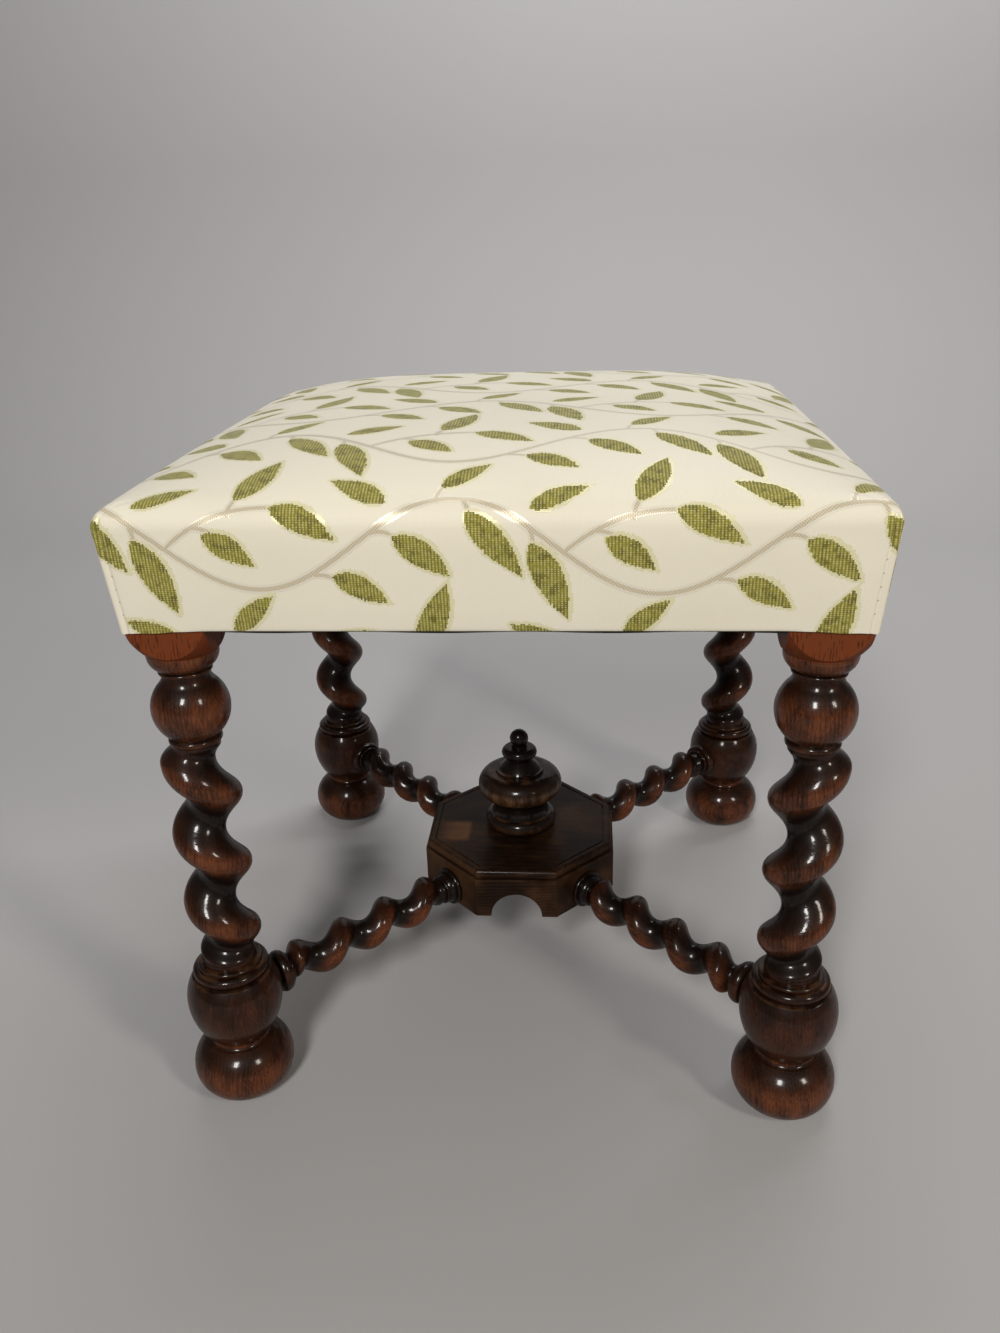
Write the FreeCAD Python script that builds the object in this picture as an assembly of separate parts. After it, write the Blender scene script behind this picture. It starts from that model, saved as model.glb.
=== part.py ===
import FreeCAD, Part
import math
import os

from FreeCAD import Vector

os.makedirs("parts", exist_ok=True)

# Square stool with barley twist legs, crossed twist stretchers and a stuffed seat.
# Sizes are in millimetres. The floor is z = 0, the middle of the stool is x = y = 0, the front faces -Y.

# Plan
LEG_SPACING = 390.0
BLOCK_SIDE = 48.5

# Leg, from the floor up
FOOT_HEIGHT = 43.0
FOOT_RADIUS = 35.7
FOOT_WIDEST = 21.5
FOOT_TOP_RADIUS = 23.5
SOLE_RADIUS = 22.0
ANKLE_HEIGHT = 6.0
ANKLE_RADIUS = 20.5
BALL_HEIGHT = 50.0
BALL_RADIUS = 33.3
BALL_WIDEST = 30.5
BALL_BOTTOM_RADIUS = 22.5
BALL_TOP_RADIUS = 27.5
BEAD_HEIGHT = 8.0
BEAD_RADIUS = 26.3
BEAD_ROOT_RADIUS = 23.6
BEAD_STEP = 1.0
RING_HEIGHT = 3.0
RING_RADIUS = 22.0
RING_ROOT_RADIUS = 21.0
LOWER_NECK_HEIGHT = 4.0
LOWER_NECK_RADIUS = 18.5
TWIST_LENGTH = 167.0
TWIST_PITCH = 53.5
TWIST_OUTER_RADIUS = 24.5
TWIST_INNER_RADIUS = 10.5
TWIST_STRAND_WIDTH = 37.5
TWIST_RUN_OUT = 11.0
TWIST_TOP_ANGLE_FRONT = 107.0
TWIST_TOP_ANGLE_BACK = 70.0
UPPER_NECK_RADIUS = 15.5
UPPER_RING_HEIGHT = 5.0
UPPER_RING_RADIUS = 17.2
BULB_HEIGHT = 36.0
BULB_RADIUS = 25.0
BULB_WIDEST = 19.5
BULB_SHOULDER_RADIUS = 18.5
BULB_NECK_HEIGHT = 8.0
BULB_NECK_RADIUS = 15.0
CUP_RING_HEIGHT = 2.6
CUP_RING_RADIUS = 17.0
CUP_HEIGHT = 10.4
CUP_RADIUS = 22.5
CUP_LIP_HEIGHT = 2.0
SHOULDER_HEIGHT = 20.0
SHOULDER_BULGE = 1.25
BLOCK_HEIGHT = 77.0

# Stretchers, from the hub outwards
STRETCHER_ABOVE_BALL_BOTTOM = 28.2
SPIGOT_RADIUS = 9.0
SPIGOT_LENGTH = 24.0
HUB_COLLAR_LENGTH = 4.0
HUB_COLLAR_RADIUS = 15.5
HUB_COLLAR_ROOT_RADIUS = 14.5
HUB_SHOULDER_LENGTH = 5.0
HUB_SHOULDER_RADIUS = 12.6
HUB_RING_LENGTH = 2.6
HUB_RING_RADIUS = 11.6
RING_END_RADIUS = 10.6
STRETCHER_NECK_RADIUS = 9.6
STRETCHER_PITCH = 40.0
STRETCHER_OUTER_RADIUS = 16.8
STRETCHER_INNER_RADIUS = 7.2
STRETCHER_STRAND_WIDTH = 25.5
STRETCHER_RUN_OUT = 8.0
LEG_RING_LENGTH = 2.6
LEG_RING_RADIUS = 12.2
LEG_COLLAR_LENGTH = 7.5
LEG_COLLAR_RADIUS = 15.8
LEG_COLLAR_ROOT_RADIUS = 14.3
STRETCHER_ROLL = {"front_left": -30.0, "front_right": 133.0, "back_left": 128.0, "back_right": 195.0}

# Hub under the finial
HUB_ACROSS_FLATS = 156.4
HUB_BODY_HEIGHT = 34.5
HUB_BELOW_STRETCHER = 13.2
HUB_MOULD_HEIGHT = 7.0
HUB_MOULD_INSET = 5.0
HUB_MOULD_GROOVE = 1.6
HUB_GROOVE_HEIGHT = 1.75
HUB_LINE_INSET = 4.0
HUB_LINE_WIDTH = 1.4
HUB_LINE_DEPTH = 1.2
ARCH_WIDTH = 41.0
ARCH_RISE = 20.8

# Finial, from the hub top up
FINIAL_SPIGOT_RADIUS = 8.0
FINIAL_SPIGOT_LENGTH = 13.0
FINIAL_BASE_HEIGHT = 13.5
FINIAL_BASE_RADIUS = 29.4
FINIAL_NECK_HEIGHT = 15.0
FINIAL_NECK_RADIUS = 22.5
FINIAL_NECK_END_RADIUS = 24.0
FINIAL_CUSHION_HEIGHT = 22.5
FINIAL_CUSHION_RADIUS = 35.0
FINIAL_CUSHION_TOP_RADIUS = 22.0
FINIAL_FILLET_RADIUS = 20.0
FINIAL_FILLET_HEIGHT = 2.0
FINIAL_DOME_HEIGHT = 10.5
FINIAL_DOME_RADIUS = 17.5
FINIAL_DOME_BULGE = 1.2
FINIAL_STEM_RADIUS = 6.5
FINIAL_DISC_HEIGHT = 9.0
FINIAL_DISC_RADIUS = 14.7
FINIAL_STEM_HEIGHT = 4.0
FINIAL_BALL_RADIUS = 7.7

# Seat frame
RAIL_HEIGHT = 55.0
RAIL_THICKNESS = 22.0
TENON_LENGTH = 26.0
TENON_THICKNESS = 9.0
TENON_HEIGHT = 38.0
BRACE_THICKNESS = 22.0
BRACE_HEIGHT = 34.0
SCREW_RADIUS = 2.2
SCREW_HEAD_RADIUS = 4.4
SCREW_HEAD_HEIGHT = 2.6
SCREW_GRIP = 9.0
SCREW_BITE = 16.0

# Upholstery
STRAPS_EACH_WAY = 3
STRAP_WIDTH = 50.0
STRAP_SPACING = 112.0
STRAP_THICKNESS = 1.6
STRAP_RAMP = 14.0
STRAP_EDGE = 6.0
HESSIAN_THICKNESS = 0.8
COVER_THICKNESS = 1.0
WADDING_THICKNESS = 2.0
WADDING_DROP = 40.0
HEM_WIDTH = 18.0
SEAT_OVERHANG = 1.9
SEAT_DRAFT = 3.0
SEAT_EDGE_HEIGHT = 15.0
SEAT_CROWN = 29.0
SEAT_EDGE_RADIUS = 13.0
DUST_COVER_THICKNESS = 0.6
DUST_COVER_INSET = 7.0

# Fits
FIT_CLEARANCE = 0.15
SOFT_CLEARANCE = 0.2
BORE_END_GAP = 1.5

# Ends and sections of a twist
TWIST_END_STEP = 0.4
SECTIONS_PER_TURN = 14
POINTS_PER_SECTION = 14

# Heights that follow from the leg
ball_bottom = FOOT_HEIGHT + ANKLE_HEIGHT
ball_middle = ball_bottom + BALL_WIDEST
stretcher_z = ball_bottom + STRETCHER_ABOVE_BALL_BOTTOM
bead_bottom = ball_bottom + BALL_HEIGHT
ring_bottom = bead_bottom + BEAD_HEIGHT
lower_neck_bottom = ring_bottom + RING_HEIGHT
twist_bottom = lower_neck_bottom + LOWER_NECK_HEIGHT
twist_top = twist_bottom + TWIST_LENGTH
bulb_bottom = twist_top + UPPER_RING_HEIGHT
bulb_neck_bottom = bulb_bottom + BULB_HEIGHT
cup_ring_bottom = bulb_neck_bottom + BULB_NECK_HEIGHT
cup_bottom = cup_ring_bottom + CUP_RING_HEIGHT
cup_top = cup_bottom + CUP_HEIGHT
block_bottom = cup_top + CUP_LIP_HEIGHT
leg_top = block_bottom + BLOCK_HEIGHT

# Places that follow from the plan
leg_offset = LEG_SPACING / 2
block_inner = leg_offset - BLOCK_SIDE / 2
block_outer = leg_offset + BLOCK_SIDE / 2
leg_distance = leg_offset * math.sqrt(2)
rail_inner = block_outer - RAIL_THICKNESS
rail_middle = block_outer - RAIL_THICKNESS / 2
rail_bottom = leg_top - RAIL_HEIGHT
hub_face = HUB_ACROSS_FLATS / 2
hub_bottom = stretcher_z - HUB_BELOW_STRETCHER
hub_body_top = hub_bottom + HUB_BODY_HEIGHT
hub_top = hub_body_top + HUB_MOULD_HEIGHT
cover_bottom = rail_bottom - COVER_THICKNESS - SOFT_CLEARANCE
hessian_bottom = leg_top + 2 * STRAP_THICKNESS + 3 * SOFT_CLEARANCE

UP = Vector(0, 0, 1)
CORNERS = {
    "front_left": (-1, -1),
    "front_right": (1, -1),
    "back_left": (-1, 1),
    "back_right": (1, 1),
}


def save(name, shape):
    """Write one named piece."""
    shape.exportStep("parts/" + name + ".step")


def box(x0, x1, y0, y1, z0, z1):
    """Block between two corners."""
    return Part.makeBox(x1 - x0, y1 - y0, z1 - z0, Vector(x0, y0, z0))


def prism(wire, height):
    """Straight block on a flat closed outline."""
    return Part.Face(wire).extrude(UP * height)


class Turning:
    """Half outline of a turned piece, drawn upwards from its axis and then spun."""

    def __init__(self, z):
        self.start = Vector(0, 0, z)
        self.here = self.start
        self.edges = []

    def line(self, r, z):
        """Straight to radius r at height z."""
        end = Vector(r, 0, z)
        self.edges.append(Part.makeLine(self.here, end))
        self.here = end

    def arc(self, r_mid, z_mid, r, z):
        """Round through a middle point to radius r at height z."""
        end = Vector(r, 0, z)
        self.edges.append(Part.Arc(self.here, Vector(r_mid, 0, z_mid), end).toShape())
        self.here = end

    def half_swell(self, upright, other, r, z):
        """Round to radius r at height z, standing upright at one of the two ends."""
        dr = other.x - upright.x
        dz = other.z - upright.z
        chord = math.hypot(dr, dz)
        bow = chord * chord / (2 * dr) * (1 - abs(dz) / chord)
        self.arc(upright.x + bow, upright.z + math.copysign(chord / 2, dz), r, z)

    def swell(self, r_wide, z_wide, r, z):
        """Two arcs that meet upright at the widest (or narrowest) point."""
        self.half_swell(Vector(r_wide, 0, z_wide), self.here, r_wide, z_wide)
        self.half_swell(self.here, Vector(r, 0, z), r, z)

    def bead(self, r_wide, z):
        """Small half round, back to the radius that it started from."""
        self.arc(r_wide, (self.here.z + z) / 2, self.here.x, z)

    def solid(self):
        """Close the outline along the axis and spin it."""
        self.line(0, self.here.z)
        self.edges.append(Part.makeLine(self.here, self.start))
        return Part.Face(Part.Wire(self.edges)).revolve(Vector(), UP, 360)


def ease(t):
    """Smooth step from 0 to 1."""
    t = min(max(t, 0.0), 1.0)
    return t * t * (3 - 2 * t)


def twist(length, pitch, outer, inner, width, necks, run_out, first_angle, hand):
    """Single barley twist standing on z = 0.

    Each level section is one oval that lies off the axis and turns once in a pitch.
    Near both ends it draws in to just inside the round necks (bottom and top radius).
    """
    steps = math.ceil(length / pitch * SECTIONS_PER_TURN)
    stations = [k / POINTS_PER_SECTION for k in range(POINTS_PER_SECTION + 1)]
    sections = []
    for i in range(steps + 1):
        z = length * i / steps
        full = min(ease(z / run_out), ease((length - z) / run_out))
        neck = (necks[0] if z < length / 2 else necks[1]) - TWIST_END_STEP
        offset = full * (outer - inner) / 2
        deep = neck + full * ((outer + inner) / 2 - neck)
        wide = neck + full * (width / 2 - neck)
        angle = math.radians(first_angle) + hand * 2 * math.pi * z / pitch
        along = Vector(math.cos(angle), math.sin(angle), 0)
        across = UP.cross(along)
        points = []
        for t in stations[:-1]:
            a = 2 * math.pi * t
            points.append(along * (offset + deep * math.cos(a)) + across * (wide * math.sin(a)) + UP * z)
        section = Part.BSplineCurve()
        section.interpolate(Points=points, PeriodicFlag=True, Parameters=stations)
        sections.append(section)
    skin = Part.BSplineSurface()
    skin.buildFromNSections(sections)
    side = skin.toShape()
    ends = [Part.Face(Part.Wire(e)) for e in side.Edges if e.BoundBox.ZLength < length / 2]
    strand = Part.Solid(Part.Shell([side] + ends))
    strand.fix(1e-4, 1e-4, 1e-4)
    return strand


def leg_turning_below():
    """Bun foot, ball and beads under the twist."""
    t = Turning(0)
    t.line(SOLE_RADIUS, 0)
    t.swell(FOOT_RADIUS, FOOT_WIDEST, FOOT_TOP_RADIUS, FOOT_HEIGHT)
    t.swell(ANKLE_RADIUS, FOOT_HEIGHT + ANKLE_HEIGHT / 2, BALL_BOTTOM_RADIUS, ball_bottom)
    t.swell(BALL_RADIUS, ball_middle, BALL_TOP_RADIUS, bead_bottom)
    t.line(BEAD_ROOT_RADIUS, bead_bottom + BEAD_STEP)
    t.bead(BEAD_RADIUS, ring_bottom)
    t.line(RING_ROOT_RADIUS, ring_bottom)
    t.bead(RING_RADIUS, lower_neck_bottom)
    t.line(LOWER_NECK_RADIUS, lower_neck_bottom)
    t.line(LOWER_NECK_RADIUS, twist_bottom)
    return t.solid()


def leg_turning_above():
    """Ring, bulb and cup between the twist and the block."""
    t = Turning(twist_top)
    t.line(UPPER_NECK_RADIUS, twist_top)
    t.bead(UPPER_RING_RADIUS, bulb_bottom)
    t.swell(BULB_RADIUS, bulb_bottom + BULB_WIDEST, BULB_SHOULDER_RADIUS, bulb_neck_bottom)
    t.half_swell(Vector(BULB_NECK_RADIUS, 0, cup_ring_bottom), t.here, BULB_NECK_RADIUS, cup_ring_bottom)
    t.bead(CUP_RING_RADIUS, cup_bottom)
    t.half_swell(Vector(CUP_RADIUS, 0, cup_top), t.here, CUP_RADIUS, cup_top)
    t.line(CUP_RADIUS, block_bottom)
    return t.solid()


def leg_block():
    """Square block with a turned shoulder, so each flat face ends below in a round edge."""
    half = BLOCK_SIDE / 2
    corner = half * math.sqrt(2)
    t = Turning(block_bottom)
    t.line(CUP_RADIUS, block_bottom)
    flare = Vector(corner, 0, block_bottom + SHOULDER_HEIGHT)
    middle = (t.here + flare) / 2
    t.arc(middle.x + SHOULDER_BULGE, middle.z - SHOULDER_BULGE, flare.x, flare.z)
    t.line(corner + half, flare.z + half)
    t.line(corner + half, leg_top)
    return t.solid().common(box(-half, half, -half, half, block_bottom, leg_top))


def leg(side, end):
    """Turned and twisted leg on the z axis; side is -1 left or 1 right, end is -1 front or 1 back."""
    turn = 360 * TWIST_LENGTH / TWIST_PITCH
    left_angle = TWIST_TOP_ANGLE_FRONT if end < 0 else TWIST_TOP_ANGLE_BACK
    top_angle = 90 - side * (left_angle - 90)
    strand = twist(TWIST_LENGTH, TWIST_PITCH, TWIST_OUTER_RADIUS, TWIST_INNER_RADIUS, TWIST_STRAND_WIDTH,
                   (LOWER_NECK_RADIUS, UPPER_NECK_RADIUS), TWIST_RUN_OUT, top_angle - side * turn, side)
    strand.translate(UP * twist_bottom)
    return leg_turning_below().fuse([strand, leg_turning_above(), leg_block()]).removeSplitter()


def outwards(shape, corner):
    """Lay a piece that was made along z on the stretcher line from the middle to one corner."""
    sx, sy = corner
    shape = shape.copy()
    shape.rotate(Vector(), Vector(0, 1, 0), 90)
    shape.rotate(Vector(), UP, math.degrees(math.atan2(sy, sx)))
    shape.translate(UP * stretcher_z)
    return shape


def stretcher(hand):
    """Turned and twisted stretcher along z, with z = 0 at the middle of the stool."""
    collar_end = hub_face + HUB_COLLAR_LENGTH
    shoulder_end = collar_end + HUB_SHOULDER_LENGTH
    twist_start = shoulder_end + HUB_RING_LENGTH
    ball_face = leg_distance - BALL_RADIUS
    twist_end = ball_face - LEG_COLLAR_LENGTH - LEG_RING_LENGTH
    hub_end = Turning(hub_face - SPIGOT_LENGTH)
    hub_end.line(SPIGOT_RADIUS, hub_face - SPIGOT_LENGTH)
    hub_end.line(SPIGOT_RADIUS, hub_face)
    hub_end.line(HUB_COLLAR_ROOT_RADIUS, hub_face)
    hub_end.bead(HUB_COLLAR_RADIUS, collar_end)
    hub_end.line(HUB_SHOULDER_RADIUS, collar_end)
    hub_end.half_swell(hub_end.here, Vector(RING_END_RADIUS, 0, shoulder_end), RING_END_RADIUS, shoulder_end)
    hub_end.bead(HUB_RING_RADIUS, twist_start)
    leg_end = Turning(twist_end)
    leg_end.line(RING_END_RADIUS, twist_end)
    leg_end.bead(LEG_RING_RADIUS, twist_end + LEG_RING_LENGTH)
    leg_end.line(LEG_COLLAR_ROOT_RADIUS, twist_end + LEG_RING_LENGTH)
    leg_end.bead(LEG_COLLAR_RADIUS, ball_face)
    leg_end.line(SPIGOT_RADIUS, ball_face)
    leg_end.line(SPIGOT_RADIUS, ball_face + SPIGOT_LENGTH)
    strand = twist(twist_end - twist_start, STRETCHER_PITCH, STRETCHER_OUTER_RADIUS, STRETCHER_INNER_RADIUS,
                   STRETCHER_STRAND_WIDTH, (STRETCHER_NECK_RADIUS, STRETCHER_NECK_RADIUS),
                   STRETCHER_RUN_OUT, 0, hand)
    strand.translate(UP * twist_start)
    return hub_end.solid().fuse([strand, leg_end.solid()]).removeSplitter()


def bore(start, end):
    """Round hole for a stretcher spigot, along z."""
    return Part.makeCylinder(SPIGOT_RADIUS + FIT_CLEARANCE, end - start, UP * start)


def octagon(across_flats, z, height):
    """Eight-sided block with a flat towards each side of the stool."""
    radius = across_flats / 2 / math.cos(math.pi / 8)
    points = []
    for k in range(9):
        a = math.pi / 8 + k * math.pi / 4
        points.append(Vector(radius * math.cos(a), radius * math.sin(a), z))
    return prism(Part.makePolygon(points), height)


def hub():
    """Octagonal block with a moulded top edge and two arches that cross under it."""
    lip = HUB_ACROSS_FLATS - 2 * HUB_MOULD_GROOVE
    field = HUB_ACROSS_FLATS - 2 * HUB_MOULD_INSET
    mould_bottom = hub_body_top + HUB_GROOVE_HEIGHT
    body = octagon(HUB_ACROSS_FLATS, hub_bottom, HUB_BODY_HEIGHT)
    groove = octagon(lip - 2 * HUB_MOULD_GROOVE, hub_body_top, HUB_GROOVE_HEIGHT)
    mould = octagon(lip, mould_bottom, hub_top - mould_bottom)
    rim = [e for e in mould.Edges if e.BoundBox.ZMin > (mould_bottom + hub_top) / 2]
    mould = mould.makeFillet(HUB_MOULD_INSET - HUB_MOULD_GROOVE, rim)
    block = body.fuse([groove, mould]).removeSplitter()
    line = octagon(field - 2 * HUB_LINE_INSET + 2 * HUB_LINE_WIDTH, hub_top - HUB_LINE_DEPTH, HUB_LINE_DEPTH)
    line = line.cut(octagon(field - 2 * HUB_LINE_INSET, hub_top - HUB_LINE_DEPTH, HUB_LINE_DEPTH))
    block = block.cut(line)
    half = ARCH_WIDTH / 2
    spring = hub_bottom + max(ARCH_RISE - half, 0)
    left = Vector(-half, -hub_face, spring)
    right = Vector(half, -hub_face, spring)
    outline = [Part.Arc(left, Vector(0, -hub_face, hub_bottom + ARCH_RISE), right).toShape()]
    foot_left = Vector(-half, -hub_face, hub_bottom)
    foot_right = Vector(half, -hub_face, hub_bottom)
    if spring > hub_bottom:
        outline.append(Part.makeLine(right, foot_right))
        outline.append(Part.makeLine(foot_left, left))
    outline.append(Part.makeLine(foot_right, foot_left))
    opening = Part.Wire(Part.sortEdges(outline)[0])
    arch = Part.Face(opening).extrude(Vector(0, 2 * hub_face, 0))
    across = arch.copy()
    across.rotate(Vector(), UP, 90)
    holes = [arch, across]
    for corner in CORNERS.values():
        holes.append(outwards(bore(hub_face - SPIGOT_LENGTH - BORE_END_GAP, hub_face), corner))
    depth = FINIAL_SPIGOT_LENGTH + BORE_END_GAP
    holes.append(Part.makeCylinder(FINIAL_SPIGOT_RADIUS + FIT_CLEARANCE, depth, UP * (hub_top - depth)))
    return block.cut(holes)


def finial():
    """Turned finial that stands on the hub."""
    z = hub_top - FINIAL_SPIGOT_LENGTH
    t = Turning(z)
    t.line(FINIAL_SPIGOT_RADIUS, z)
    t.line(FINIAL_SPIGOT_RADIUS, hub_top)
    t.line(FINIAL_BASE_RADIUS - FINIAL_BASE_HEIGHT / 2, hub_top)
    z = hub_top + FINIAL_BASE_HEIGHT
    t.bead(FINIAL_BASE_RADIUS, z)
    neck_top = z + FINIAL_NECK_HEIGHT
    t.line(FINIAL_NECK_END_RADIUS, z)
    t.swell(FINIAL_NECK_RADIUS, z + FINIAL_NECK_HEIGHT / 2, FINIAL_NECK_END_RADIUS, neck_top)
    z = neck_top + FINIAL_CUSHION_HEIGHT
    t.swell(FINIAL_CUSHION_RADIUS, neck_top + FINIAL_CUSHION_HEIGHT / 2, FINIAL_CUSHION_TOP_RADIUS, z)
    t.line(FINIAL_FILLET_RADIUS, z)
    t.line(FINIAL_FILLET_RADIUS, z + FINIAL_FILLET_HEIGHT)
    t.line(FINIAL_DOME_RADIUS, z + FINIAL_FILLET_HEIGHT)
    dome_bottom = z + FINIAL_FILLET_HEIGHT
    dome_top = dome_bottom + FINIAL_DOME_HEIGHT
    dome_side = (FINIAL_DOME_RADIUS + FINIAL_STEM_RADIUS) / 2 + FINIAL_DOME_BULGE
    t.arc(dome_side, (dome_bottom + dome_top) / 2, FINIAL_STEM_RADIUS, dome_top)
    disc_top = dome_top + FINIAL_DISC_HEIGHT
    t.line(FINIAL_DISC_RADIUS - FINIAL_DISC_HEIGHT / 2, dome_top)
    t.bead(FINIAL_DISC_RADIUS, disc_top)
    t.line(FINIAL_STEM_RADIUS, disc_top)
    ball_middle = disc_top + FINIAL_STEM_HEIGHT + FINIAL_BALL_RADIUS / 2
    t.line(FINIAL_STEM_RADIUS, disc_top + FINIAL_STEM_HEIGHT / 2)
    ball = Part.makeSphere(FINIAL_BALL_RADIUS, UP * ball_middle)
    return t.solid().fuse(ball).removeSplitter()


def tenon(end, grow):
    """Tenon at one end of the front rail, made larger all round for its mortise."""
    start = block_inner
    stop = block_inner + TENON_LENGTH + (BORE_END_GAP if grow else 0)
    middle = (rail_bottom + leg_top) / 2
    thick = TENON_THICKNESS / 2 + grow
    high = TENON_HEIGHT / 2 + grow
    x0, x1 = sorted((end * start, end * stop))
    return box(x0, x1, -rail_middle - thick, -rail_middle + thick, middle - high, middle + high)


def screw_line(turn):
    """Place of one brace screw in the back right corner: its head seat and the rail face."""
    seat = Vector(rail_inner - SCREW_GRIP, block_inner - BRACE_THICKNESS * math.sqrt(2), 0)
    seat.z = rail_bottom + RAIL_HEIGHT / 2
    if turn:
        seat = Vector(seat.y, seat.x, seat.z)
        return seat, Vector(0, 1, 0)
    return seat, Vector(1, 0, 0)


def front_rail():
    """Seat rail between the two front blocks, with its tenons and the brace screw holes."""
    rail = box(-block_inner, block_inner, -block_outer, -rail_inner, rail_bottom, leg_top)
    rail = rail.fuse([tenon(-1, 0), tenon(1, 0)]).removeSplitter()
    seat, along = screw_line(True)
    depth = SCREW_BITE + BORE_END_GAP
    holes = []
    for side in (-1, 1):
        mouth = Vector(side * seat.x, -rail_inner, seat.z)
        holes.append(Part.makeCylinder(SCREW_RADIUS + FIT_CLEARANCE, depth, mouth, -along))
    return rail.cut(holes)


def back_right_brace():
    """Corner brace across the rails, with a counterbored hole for each screw."""
    near = 2 * block_inner - 2 * SOFT_CLEARANCE
    far = near - BRACE_THICKNESS * math.sqrt(2)
    middle = rail_bottom + RAIL_HEIGHT / 2
    points = [
        Vector(rail_inner, near - rail_inner, middle - BRACE_HEIGHT / 2),
        Vector(near - rail_inner, rail_inner, middle - BRACE_HEIGHT / 2),
        Vector(far - rail_inner, rail_inner, middle - BRACE_HEIGHT / 2),
        Vector(rail_inner, far - rail_inner, middle - BRACE_HEIGHT / 2),
    ]
    brace = prism(Part.makePolygon(points + points[:1]), BRACE_HEIGHT)
    holes = []
    for turn in (False, True):
        seat, along = screw_line(turn)
        reach = BRACE_THICKNESS * 2
        holes.append(Part.makeCylinder(SCREW_RADIUS + FIT_CLEARANCE, SCREW_GRIP, seat, along))
        holes.append(Part.makeCylinder(SCREW_HEAD_RADIUS + FIT_CLEARANCE, reach, seat, -along))
    return brace.cut(holes)


def brace_screws():
    """Two screws in the back right brace."""
    screws = []
    for turn in (False, True):
        seat, along = screw_line(turn)
        shank = Part.makeCylinder(SCREW_RADIUS, SCREW_GRIP + SCREW_BITE, seat, along)
        head = Part.makeCylinder(SCREW_HEAD_RADIUS, SCREW_HEAD_HEIGHT, seat, -along)
        screws.append(shank.fuse(head).removeSplitter())
    return screws


def turned(shape, quarter):
    """Copy of a piece, turned by quarter turns about the middle of the stool."""
    shape = shape.copy()
    shape.rotate(Vector(), UP, 90 * quarter)
    return shape


def strap_places():
    """Middle lines of the webbing straps."""
    return [(i - (STRAPS_EACH_WAY - 1) / 2) * STRAP_SPACING for i in range(STRAPS_EACH_WAY)]


def strap(index, first_over):
    """Webbing strap along Y that goes over and under the straps along X."""
    low = leg_top + SOFT_CLEARANCE
    high = low + STRAP_THICKNESS + SOFT_CLEARANCE
    end = block_outer - STRAP_EDGE
    path = [(-end, low)]
    for j, place in enumerate(strap_places()):
        if (index + j + first_over) % 2 == 0:
            half = STRAP_WIDTH / 2 + STRAP_THICKNESS
            path.append((place - half - STRAP_RAMP, low))
            path.append((place - half, high))
            path.append((place + half, high))
            path.append((place + half + STRAP_RAMP, low))
    path.append((end, low))
    x = strap_places()[index] - STRAP_WIDTH / 2
    under = [Vector(x, y, z) for y, z in path]
    over = [Vector(x, y, z + STRAP_THICKNESS) for y, z in reversed(path)]
    outline = Part.makePolygon(under + over + under[:1])
    return Part.Face(outline).extrude(Vector(STRAP_WIDTH, 0, 0))


def square(half, z):
    """Level square outline about the middle of the stool."""
    corners = ((-1, -1), (1, -1), (1, 1), (-1, 1), (-1, -1))
    return Part.makePolygon([Vector(sx * half, sy * half, z) for sx, sy in corners])


def seat_dome(half, edge_level):
    """Top of the stuffed seat as one smooth patch with four straight level edges and its peak in the middle.

    It falls with the fourth power of the distance from the middle, both ways, so it is flat there and steeper
    towards the edges.
    """
    rise = (0, 2, 0, 2, 0)
    degree = len(rise) - 1
    patch = Part.BezierSurface()
    patch.increase(degree, degree)
    for i in range(degree + 1):
        for j in range(degree + 1):
            x = half * (2 * i / degree - 1)
            y = half * (2 * j / degree - 1)
            patch.setPole(i + 1, j + 1, Vector(x, y, edge_level + SEAT_CROWN * rise[i] * rise[j]))
    return patch.toShape()


def seat_form(inset, bottom):
    """Outside of the stuffed seat, drawn in by an inset and cut off level at the bottom.

    The sides lean out a little, the top is a dome and the edge between them is rolled.
    """
    edge_level = leg_top + SEAT_EDGE_HEIGHT
    low_half = block_outer + SEAT_OVERHANG
    slope = SEAT_DRAFT / (edge_level - cover_bottom)
    depth = edge_level + SEAT_CROWN + SEAT_EDGE_RADIUS - bottom
    outlines = [square(low_half + slope * (z - cover_bottom) - inset, z) for z in (bottom, bottom + depth)]
    sides = Part.makeLoft(outlines, True, True)
    dome = seat_dome(low_half + SEAT_DRAFT + SEAT_EDGE_RADIUS / 2, edge_level - inset)
    form = sides.common(dome.extrude(UP * -depth))
    top = max(form.Faces, key=lambda f: f.CenterOfMass.z)
    return form.makeFillet(SEAT_EDGE_RADIUS - inset, top.OuterWire.Edges)


def leg_notches(gap, z0, z1):
    """Square columns around the four blocks, for what has to be cut clear of them."""
    half = BLOCK_SIDE / 2 + gap
    columns = []
    for sx, sy in CORNERS.values():
        x = sx * leg_offset
        y = sy * leg_offset
        columns.append(box(x - half, x + half, y - half, y + half, z0, z1))
    return columns


def seat_cover():
    """Fabric over the whole seat, turned under the rails and cut round the blocks."""
    hem_top = cover_bottom + COVER_THICKNESS
    skin = seat_form(0, cover_bottom).cut(seat_form(COVER_THICKNESS, hem_top))
    opening = block_outer - HEM_WIDTH
    holes = [box(-opening, opening, -opening, opening, cover_bottom, hem_top)]
    return skin.cut(holes + leg_notches(SOFT_CLEARANCE, cover_bottom, hem_top))


def seat_wadding():
    """Wadding between the stuffing and the cover, down over the outside of the rails."""
    outer = COVER_THICKNESS + SOFT_CLEARANCE
    bottom = leg_top - WADDING_DROP
    half = block_outer + SOFT_CLEARANCE
    frame = box(-half, half, -half, half, bottom, leg_top)
    return seat_form(outer, bottom).cut([frame, seat_form(outer + WADDING_THICKNESS, leg_top)])


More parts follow.
